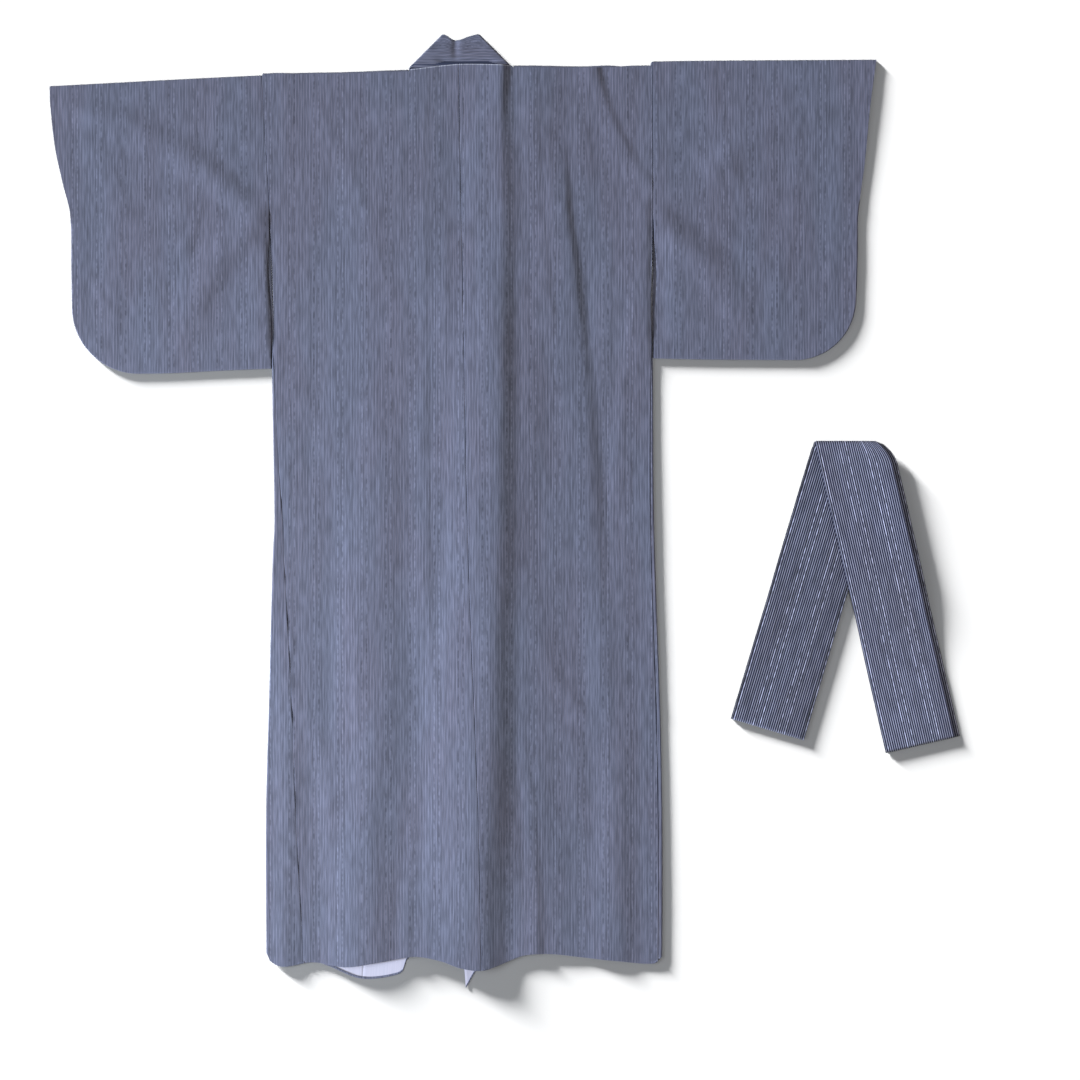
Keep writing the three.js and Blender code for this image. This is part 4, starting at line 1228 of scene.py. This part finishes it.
@dataclass
class Sleeve(RobePiece):
    """A sleeve: one width folded at the top and sewn at the bottom, the corner and lower wrist."""

    columns: int = 84
    rows: int = 62
    corner_rows: int = 20
    cuff_opening: float = 0.45
    depth: float = 490
    width: float = 360
    round_steps: int = 6
    slit_share: float = 0.15
    seam_tuck: float = 2.0
    bottom_read: float = 640
    cuff_closing: float = 0.03
    fold_start: float = 60
    arm_allowance: float = 12.0

    @property
    def half(self) -> float:
        """Half the height between the middles of the two layers."""
        return (self.form.back_level - self.form.front) / 2

    def insets(self, size: float) -> Array:
        """Distances in from a closed edge that make it round, as shares of a size."""
        return self.half * (1 - np.cos(np.linspace(0, np.pi / 2, self.round_steps))) / size

    def row_shares(self, side: Side) -> Array:
        """The rows from the top fold to the bottom seam, close together where the cloth turns.

        Args:
            side: the robe's side.

        Returns:
            The share down the sleeve of each row.
        """
        top = float(SHOULDER(CUFF_X[side]))
        bottom = float(SLEEVE_BOTTOM[side](side.value * self.bottom_read))
        radius = CORNER_RADIUS[side]
        whole = top - bottom
        straight = (whole - radius) / whole
        angles = np.linspace(0, np.pi / 2, self.corner_rows)[:-1]
        corner = straight + radius / whole * np.sin(angles)
        ends = self.insets(whole)
        flat = np.linspace(ends[-1], straight, self.rows, endpoint=False)[1:]
        rows = np.concatenate([ends, flat, corner[corner < 1 - ends[-1]], 1 - ends[::-1]])
        return np.sort(rows)

    def place(self, side: Side, u: Array, v: Array, layer: Array) -> tuple[Array, Array]:
        """A place in the sleeve's outline.

        Args:
            side: the robe's side.
            u: the share across, 0 at the arm and 1 at the wrist.
            v: the share down, 0 at the top fold and 1 at the bottom.
            layer: 1 in the back layer and -1 in the front one.

        Returns:
            X and Y there.
        """
        sign, radius = side.value, CORNER_RADIUS[side]
        cuff_top = float(SHOULDER(CUFF_X[side]))
        bottom = float(SLEEVE_BOTTOM[side](sign * self.bottom_read))
        outer_y = mix(cuff_top, bottom, v)
        fallen = np.maximum(0, bottom + radius - outer_y)
        wrist = WRIST_EDGE[side](outer_y)
        outer_x = wrist - sign * (radius - np.sqrt(np.maximum(0, radius**2 - fallen**2)))
        arm_x = float(SIDE_EDGE[side](0))
        inner_y = mix(float(SHOULDER(arm_x)), SLEEVE_BOTTOM[side](arm_x), v)
        slit = SLIT(inner_y) * np.where(layer > 0, 1, self.slit_share)
        slit = slit - self.seam_tuck * self.form.opened(inner_y)
        inner_x = SIDE_EDGE[side](inner_y) + sign * (self.form.seam + slit)
        fold_y = SHOULDER(mix(arm_x, CUFF_X[side], u))
        hem_x = mix(arm_x, wrist - sign * radius, u)
        return mix(inner_x, outer_x, u), mix(fold_y, SLEEVE_BOTTOM[side](hem_x), v)

    def height(self, side: Side, x: Array, y: Array, u: Array, v: Array, layer: Array) -> Array:
        """The height of the cloth's middle: a flat tube that is round where it is closed.

        Args:
            side: the robe's side.
            x: the places across.
            y: the places along.
            u: the share across the sleeve at each place.
            v: the share down it.
            layer: 1 in the back layer and -1 in the front one.

        Returns:
            The height at each place.
        """
        form, half = self.form, self.half
        end = np.minimum(v, 1 - v) * self.depth
        closed = smooth((v - self.cuff_opening) / self.cuff_closing)
        distance = np.minimum(end, mix(self.width, (1 - u) * self.width, closed))
        crown = half * np.sqrt(1 - (1 - np.clip(distance / half, 0, 1)) ** 2)
        folds = fold_heights(SLEEVE_FOLDS[side], x, y) + form.back_settling.height(x, y)
        ripple = np.maximum(0, form.front_settling.height(x, y))
        rise = np.where(layer > 0, folds, ripple) * smooth(distance / self.fold_start)
        return form.front + half + layer * crown + rise

    def build(self, side: Side) -> Piece:
        """Makes the sleeve of one side.

        Args:
            side: the robe's side.

        Returns:
            The finished piece.
        """
        rows = self.row_shares(side)
        ends = self.insets(self.width)
        flat = np.linspace(0, 1 - ends[-1], self.columns, endpoint=False)
        u_row = np.concatenate([flat, 1 - ends[::-1]])
        v_row = np.concatenate([rows[::-1], rows[1:]])
        layer_row = np.concatenate([np.ones(len(rows)), -np.ones(len(rows) - 1)])
        u, v = np.meshgrid(u_row, v_row, indexing="ij")
        layer = np.broadcast_to(layer_row, u.shape)
        x, y = self.place(side, u, v, layer)
        along = self.depth * (1 - layer * v)
        points = np.stack([x, y, self.height(side, x, y, u, v, layer)], -1)
        sheet = Sheet.of(points, np.stack([side.value * x, along], -1))
        arm = Edge.FIRST_COLUMN
        if side is Side.LEFT:
            sheet, arm = sheet.flipped(), Edge.LAST_COLUMN
        sheet = self.turned(sheet, (arm, self.arm_allowance))
        return self.finish("sleeve", side, sheet, (self.width + self.arm_allowance, 2 * self.depth),
                           weld=0.02)


@dataclass
class Collar(RobePiece):
    """The band up one front, over at the side of the neck and down the other, folded double."""

    wall: float = 2.2
    neck_level: float = 5.2
    inset: float = 0.8
    turn_shift: float = 0.4
    lowest: float = 1.2
    ground_gap: float = 0.05
    tuck: float = 6
    # The gap above the back neck: the height, half width, middle and taper of its painted shade; the
    # hollow shares the half width and middle.
    gap_shade_height: float = 5.5
    gap_half: float = 56
    gap_middle: float = 10
    gap_shade_taper: float = 24
    hollow_depth: float = 2.6
    hollow_at: float = 11
    hollow_half: float = 2.6
    hollow_taper: float = 20
    trough_depth: float = 1.7
    trough_x: float = -9
    trough_half: float = 5.5
    flat_columns: int = 40
    edge_columns: int = 5
    front_rows: int = 90
    turn_rows: int = 12
    neck_rows: int = 20

    @property
    def turn(self) -> float:
        """Radius of the turn at the sides of the neck, at the band's middle."""
        return (self.neck_level - self.lowest) / 2

    def front(self, side: Side, w: Array, y: Array) -> Array:
        """The band's middle on a front.

        Args:
            side: the robe's side.
            w: how far across the band, from its seam to its free edge.
            y: the places along.

        Returns:
            The places.
        """
        x = COLLAR_SEAM[side](np.minimum(0, y)) - side.value * (w + self.inset)
        level = np.minimum(y, self.form.armhole_end / 2)
        lift = self.form.front_level(side, x, level) - self.form.front
        return np.stack([x, y, self.wall / 2 + self.ground_gap + lift], -1)

    def turned_over(self, side: Side, w: Array, past: Array) -> Array:
        """The band's middle where it turns over a 45 degree fold.

        Args:
            side: the robe's side.
            w: how far across the band, from its seam to its free edge.
            past: how far past the fold line, round the turn.

        Returns:
            The places.
        """
        quarter = np.pi / 2 * self.turn
        angle = np.clip(past / quarter, -1, 1) * np.pi / 2
        back = self.turn * (1 - np.cos(angle)) / math.sqrt(2)
        run = w + past / math.sqrt(2)
        inset = self.inset + self.turn_shift * self.turn
        return np.stack(np.broadcast_arrays(
            side.value * (self.form.neck_half - inset - run - back),
            run - back - self.tuck,
            self.lowest + self.turn * (1 + np.sin(angle)),
        ), -1)

    def half_line(self, side: Side, w: Array) -> Array:
        """The band's middle from its end on one front to the centre of the neck, by w.

        Args:
            side: the robe's side.
            w: how far across the band, from its seam to its free edge.

        Returns:
            The places.
        """
        form = self.form
        quarter = np.pi / 2 * self.turn
        shares = np.linspace(0, 1, self.front_rows)[:, None]
        front = self.front(side, np.broadcast_to(w, (self.front_rows, len(w))),
                           mix(form.band_end, w - self.tuck - 6, shares))
        past = np.linspace(-quarter, quarter, self.turn_rows)[:, None]
        turn = self.turned_over(side, np.broadcast_to(w, (self.turn_rows, len(w))), past)
        shares = np.linspace(0, 1, self.neck_rows + 1)[1:, None, None]
        to_middle = turn[-1] * np.array([0, 1, 1])
        return np.concatenate([front, turn, mix(turn[-1], to_middle, shares)])

    def whole_line(self, w: Array) -> Array:
        """The band's middle from one end to the other, by w."""
        left, right = (self.half_line(side, w) for side in Side)
        return np.concatenate([left, right[::-1][1:]])

    def outline(self) -> tuple[Array, Array]:
        """The band's section: across it, and up from its middle."""
        half, far = self.wall / 2, self.form.band_width - self.wall / 2
        angles = np.linspace(-np.pi / 2, np.pi / 2, self.edge_columns)
        flat = np.linspace(half, far, self.flat_columns)
        w = np.concatenate([flat[:-1], far + half * np.cos(angles), flat[::-1][1:-1],
                            half - half * np.cos(angles)])
        h = np.concatenate([-half * np.ones(len(flat) - 1), half * np.sin(angles),
                            half * np.ones(len(flat) - 2), -half * np.sin(angles)])
        return np.append(w, w[0]), np.append(h, h[0])

    def shaped(self, points: Array, w: Array) -> Array:
        """The band with its free edge as it stands behind the neck, and its hollow gap.

        Args:
            points: the places on the band.
            w: how far across the band each column lies.

        Returns:
            The places after.
        """
        x, y, z = np.moveaxis(points.copy(), -1, 0)
        share = w / self.form.band_width
        neck = smooth((self.neck_level + 3 - np.abs(z - self.neck_level)) / 3)
        y = y + COLLAR_TOP(x) * smooth((y + 2) / 10) * share * share
        trough = np.exp(-((x - self.trough_x) / self.trough_half) ** 2) * smooth(y / 20)
        hollow = smooth((self.gap_half - np.abs(x - self.gap_middle)) / self.hollow_taper)
        hollow = hollow * smooth(y + 8) * np.exp(-((w - self.hollow_at) / self.hollow_half) ** 2)
        z = z - (self.trough_depth * trough + self.hollow_depth * hollow) * neck
        return np.stack([x, y, z], -1)

    def build(self) -> Piece:
        """Makes the collar as a flat closed tube."""
        width = self.form.band_width
        w, h = self.outline()
        line = self.whole_line(w)
        ends = self.whole_line(np.array([0.0, width]))
        across = unit(ends[:, 1] - ends[:, 0])[:, None]
        normals = unit(np.cross(np.gradient(line, axis=0), across))
        points = self.shaped(line + normals * h[:, None], w)
        steps = np.linalg.norm(np.diff(line[:, 0], axis=0, prepend=line[:1, 0]), axis=-1)
        length = steps.cumsum()
        cut = np.stack(np.broadcast_arrays(w, length[:, None]), -1)
        sheet = Sheet.of(np.swapaxes(points, 0, 1), np.swapaxes(cut, 0, 1))
        piece = closed_tube("robe_collar", sheet, self.shift)
        self.dress(piece)
        # Painted shade: faces of the band in the gap above the back neck take the reverse's material,
        # which is dark there.
        for face in piece.data.polygons:
            x, y, z = (face.center - self.shift) / MM
            taper = float(smooth((self.gap_half - abs(x - self.gap_middle)) / self.gap_shade_taper))
            in_gap_shade = z > self.neck_level - self.wall and -2 < y < self.gap_shade_height * taper
            face.material_index = int(in_gap_shade)
        return hand_over(piece, ["collar"], (width, float(length[-1])))


# ---- Belt ----


@dataclass(frozen=True)
class BeltLeg:
    """One leg of the belt: where its middle starts, its tilt in degrees and its length."""

    x: float
    y: float
    tilt: float
    length: float


@dataclass
class Belt:
    """The belt: three layers of one folded strap, laid over on themselves across a fold line."""

    shift: Vector
    cloth: bpy.types.Material
    width: float = 126
    layer: float = 1.6
    air: float = 0.12
    fold_y: float = -624
    corner: float = 50
    corner_inset: float = 58
    corner_start: float = 10
    over_x: float = 650
    over_tilt: float = 13
    over_length: float = 517
    under_tilt: float = -16.6
    under_length: float = 490
    roll: float = 1.2
    lap: float = 3
    seam: float = 0.3
    skewed: float = 60
    squared: float = 300
    lifted: float = 215
    lowered: float = 190
    insets: tuple[Span, ...] = ((3, 0), (0, 4), (2, 9))
    names: tuple[str, ...] = ("belt_layer_lower", "belt_layer_middle", "belt_layer_upper")
    across: int = 34
    round_steps: int = 5
    corner_length: float = 40
    under_start: float = 2
    over_rings: int = 96
    corner_rings: int = 24
    roll_rings: int = 26
    under_rings: int = 92
    waves: tuple[tuple[float, float, float], ...] = ((0.5, 47, 0), (0.25, 23, 1.3))

    def __post_init__(self) -> None:
        """Works out the bend and the two legs."""
        self.height = len(self.insets) * self.layer
        self.bend = self.height + self.roll
        self.neutral = self.height / 2 + self.roll
        self.over = BeltLeg(self.over_x, self.fold_y, self.over_tilt, self.over_length)
        reach = math.pi * self.neutral + self.lap - self.bend
        self.under = BeltLeg(self.over_x - reach * math.tan(math.radians(self.over_tilt)),
                             self.fold_y - self.bend - self.lap - self.seam,
                             self.under_tilt, self.under_length)

    def section(self, index: int) -> tuple[Array, Array]:
        """One layer's outline: across the strap, and up through its layers.

        Args:
            index: the layer's number, from the lowest.

        Returns:
            The places across and the heights.
        """
        left, right = self.insets[index]
        radius = self.layer / 2 - self.air
        low, high = -self.width / 2 + left + radius, self.width / 2 - right - radius
        angles = np.linspace(-np.pi / 2, np.pi / 2, self.round_steps)
        flat = np.linspace(low, high, self.across)
        a = np.concatenate([flat[:-1], high + radius * np.cos(angles), flat[::-1][1:-1],
                            low - radius * np.cos(angles)])
        middle = (index + 0.5) * self.layer
        h = middle + np.concatenate([
            -radius * np.ones(len(flat) - 1), radius * np.sin(angles),
            radius * np.ones(len(flat) - 2), -radius * np.sin(angles)])
        return np.append(a, a[0]), np.append(h, h[0])

    def ring(self, leg: BeltLeg, a: Array, down: float) -> tuple[Array, Array]:
        """A section of a leg, which lies along the fold line near it and square farther down.

        Args:
            leg: the leg.
            a: places across the strap.
            down: the distance down the leg.

        Returns:
            X and Y of each place.
        """
        a = self.narrowed(a, down)
        tilt = math.radians(leg.tilt)
        skew = 1 - smooth((down - self.skewed) / self.squared)
        run = down + skew * a * math.tan(tilt)
        return (leg.x + a * math.cos(tilt) + run * math.sin(tilt),
                leg.y + a * math.sin(tilt) - run * math.cos(tilt))

    def narrowed(self, a: Array, down: float) -> Array:
        """Places across the strap, drawn in where its corner at the bend is rounded.

        Args:
            a: the places.
            down: the distance down the leg.

        Returns:
            The places after.
        """
        depth = min(self.corner, max(0.0, down + self.corner_start))
        inset = self.corner_inset * (1 - math.sqrt(1 - (1 - depth / self.corner) ** 2))
        half = self.width / 2
        return np.where(a > 0, a * (half - inset) / half, a)

    def over_ring(self, a: Array, h: Array, down: float) -> Array:
        """A section of the upper leg, which rolls over the bend where it passes the axis.

        Args:
            a: places across the strap.
            h: their heights in its layers.
            down: the distance down the leg.

        Returns:
            The places.
        """
        x, y = self.ring(self.over, a, down)
        z = (self.bend + self.roll) * (1 - smooth((down - self.lifted) / self.lowered)) + h
        axis_y = self.fold_y - self.bend
        past = (y - axis_y) / self.neutral
        angle = np.clip(past, 0, np.pi)
        radius = self.roll + h
        rolled_y = axis_y + radius * np.sin(angle) - np.maximum(0, past - np.pi) * self.neutral
        rolled_z = self.bend + radius * np.cos(angle)
        return np.stack([x, np.where(past > 0, rolled_y, y), np.where(past > 0, rolled_z, z)], -1)

    def under_ring(self, a: Array, h: Array, down: float) -> Array:
        """A section of the lower leg, which lies on the surface with its layers turned over.

        Args:
            a: places across the strap.
            h: their heights in its layers.
            down: the distance down the leg.

        Returns:
            The places.
        """
        x, y = self.ring(self.under, a, down)
        return np.stack([x, y, self.height - h], -1)

    def build_layer(self, index: int) -> Piece:
        """Makes one layer of the strap, from the end of the upper leg to that of the lower.

        Args:
            index: the layer's number, from the lowest.

        Returns:
            The finished piece.
        """
        a, h = self.section(index)
        turn = (math.pi * self.neutral + self.lap) / math.cos(math.radians(self.over_tilt))
        over = np.concatenate([
            np.linspace(self.over.length, self.corner_length, self.over_rings),
            np.linspace(self.corner_length, self.bend, self.corner_rings)[1:-1],
            np.linspace(self.bend, self.bend - turn, self.roll_rings),
        ])
        under = np.linspace(self.under_start, self.under.length, self.under_rings)
        rings = [self.over_ring(a, h, down) for down in over]
        rings += [self.under_ring(a, h, down) for down in under]
        along = self.over.length - np.append(over, self.bend - turn - self.seam - under)
        cut = np.stack(np.broadcast_arrays(a[:, None] + self.width / 2, along), -1)
        sheet = Sheet.of(self.wavy(np.stack(rings, 1), cut), cut)
        piece = closed_tube(self.names[index], sheet, self.shift)
        piece.data.materials.append(self.cloth)
        flat = (self.width - sum(self.insets[index]), float(along[-1] - along[0]))
        return hand_over(piece, ["belt_over", "belt_under"], flat)

    def wavy(self, points: Array, cut: Array) -> Array:
        """The strap with the slight waviness of its long edges.

        Args:
            points: the places on the strap.
            cut: their places in its flat cut.

        Returns:
            The places after.
        """
        wave = sum(size * np.sin(cut[..., 1] / length + start) for size, length, start in self.waves)
        points = points.copy()
        points[..., 0] += wave * (cut[..., 0] / self.width - 0.5)
        return points

    def build(self) -> list[Piece]:
        """Makes every layer."""
        return [self.build_layer(index) for index in range(len(self.insets))]


# ---- Studio ----


@dataclass(frozen=True)
class Sun:
    """A distant light: where it comes from in degrees, how strong and soft it is, its tint."""

    name: str
    azimuth: float
    elevation: float
    strength: float
    softness: float
    tint: tuple[float, float, float]

    def build(self) -> bpy.types.Object:
        """Makes the light."""
        light = bpy.data.lights.new(self.name, "SUN")
        light.energy, light.color = self.strength, self.tint
        light.angle = math.radians(self.softness)
        elevation, azimuth = math.radians(self.elevation), math.radians(self.azimuth)
        towards = Vector((math.cos(azimuth) * math.cos(elevation),
                          math.sin(azimuth) * math.cos(elevation), math.sin(elevation)))
        return placed(self.name, light, Vector(), towards)


def placed(name: str, data: bpy.types.ID, place: Vector,
           backwards: Vector | None = None) -> bpy.types.Object:
    """A light or a camera in its place.

    Args:
        name: its name.
        data: the light or the camera.
        place: where it stands.
        backwards: the way opposite to the one that it looks, or None to look straight down.

    Returns:
        The object.
    """
    thing = bpy.data.objects.new(name, data)
    thing.location = place
    if backwards:
        thing.rotation_mode = "QUATERNION"
        thing.rotation_quaternion = backwards.to_track_quat("Z", "Y")
    bpy.context.scene.collection.objects.link(thing)
    return thing


@dataclass(frozen=True)
class Studio:
    """A plain pale floor seen from straight above, under window light from the left.

    The key light doesn't reach the floor. Two lights fall on the floor alone: one from the upper
    left, which gives the long soft shadow, and one from above, which fills it.
    """

    view_width: float = 1.7928
    view_centre: Span = (0.1311, -0.7885)
    camera_height: float = 3.6
    sensor: float = 36.0
    key: Sun = Sun("key", 186, 17, 7.5, 7, (0.81, 0.915, 1.1))
    floor_light: Sun = Sun("floor_light", 137, 8, 79, 9, (1.0, 1.0, 1.0))
    floor_fill: Sun = Sun("floor_fill", 90, 88, 1.3, 20, (0.9, 0.96, 1.06))
    window_place: tuple[float, float, float] = (-1.2, -0.5, 0.9)
    window_size: float = 0.7
    window_power: float = 16.0
    window_tint: tuple[float, float, float] = (0.82, 0.91, 1.0)
    fill: float = 0.43
    fill_tint: Colour = (1.0, 0.955, 0.9, 1)
    floor_half: float = 6
    floor_colour: Colour = (0.24, 0.24, 0.24, 1)

    def build(self, shift: Vector) -> None:
        """Makes the camera, the lights, the floor and the world.

        Args:
            shift: the middle of the back neckline in the row frame, in metres.
        """
        middle = Vector((shift.x + self.view_centre[0], shift.y + self.view_centre[1], 0))
        self.camera(middle)
        self.window(middle)
        self.world()
        self.aim_suns(self.floor())

    def camera(self, middle: Vector) -> None:
        """Makes the camera, which looks straight down.

        Args:
            middle: the middle of what is seen, on the floor.
        """
        camera = bpy.data.cameras.new("camera")
        camera.sensor_width = self.sensor
        camera.lens = self.sensor * self.camera_height / self.view_width
        height = Vector((0, 0, self.camera_height))
        bpy.context.scene.camera = placed("camera", camera, middle + height)

    def window(self, middle: Vector) -> None:
        """Makes the window's light.

        Args:
            middle: the middle of what is seen, on the floor.
        """
        window = bpy.data.lights.new("window", "AREA")
        window.energy, window.size, window.color = self.window_power, self.window_size, self.window_tint
        place = Vector(self.window_place)
        placed("window", window, middle + place, place)

    def world(self) -> None:
        """Makes the even light from all round."""
        scene = bpy.context.scene
        scene.world = bpy.data.worlds.new("world")
        scene.world.use_nodes = True
        background = scene.world.node_tree.nodes["Background"].inputs
        background[0].default_value, background[1].default_value = self.fill_tint, self.fill
        scene.view_settings.view_transform = "Standard"

    def aim_suns(self, floor: bpy.types.Object) -> None:
        """Makes the distant lights, and keeps each to the floor or off it.

        Args:
            floor: the floor.
        """
        only_floor, but_floor = map(bpy.data.collections.new, ("only_floor", "but_floor"))
        for collection in (only_floor, but_floor):
            collection.objects.link(floor)
        but_floor.collection_objects[0].light_linking.link_state = "EXCLUDE"
        self.key.build().light_linking.receiver_collection = but_floor
        for sun in (self.floor_light, self.floor_fill):
            sun.build().light_linking.receiver_collection = only_floor

    def floor(self) -> bpy.types.Object:
        """Makes the plain pale surface that everything lies on."""
        bm = bmesh.new()
        bmesh.ops.create_grid(bm, x_segments=1, y_segments=1, size=self.floor_half)
        mesh = bpy.data.meshes.new("floor")
        bm.to_mesh(mesh)
        bm.free()
        paper = Nodes("floor_paper")
        paper.surface(self.floor_colour, 0.95, 0.0, 0.0)
        mesh.materials.append(paper.material)
        floor = bpy.data.objects.new("floor", mesh)
        bpy.context.scene.collection.objects.link(floor)
        return floor


def neckline() -> Vector:
    """The middle of the back neckline in the row frame, found from the right sleeve's cuff."""
    _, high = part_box("sleeve_right")
    cuff = CUFF_X[Side.RIGHT]
    return Vector((high.x - cuff * MM, high.y - float(SHOULDER(cuff)) * MM, 0))


def main() -> None:
    """Builds the robe, the belt and the studio, and reports each piece."""
    logging.basicConfig(level=logging.INFO, format="%(name)s: %(message)s")
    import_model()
    shift = neckline()
    Studio().build(shift)
    cloth = (RobeForm(), shift, ROBE_CLOTH.material(), REVERSE.material())
    # A paler copy of the robe's stripes, for the back neck edge.
    binding = NECK_EDGE.material()
    for side in Side:
        BodyPanel(*cloth, binding=binding).build(side)
        OverlapPanel(*cloth).build(side)
        Sleeve(*cloth).build(side)
    Collar(*cloth).build()
    Belt(shift, BELT_CLOTH.material()).build()


if __name__ == "__main__":
    main()
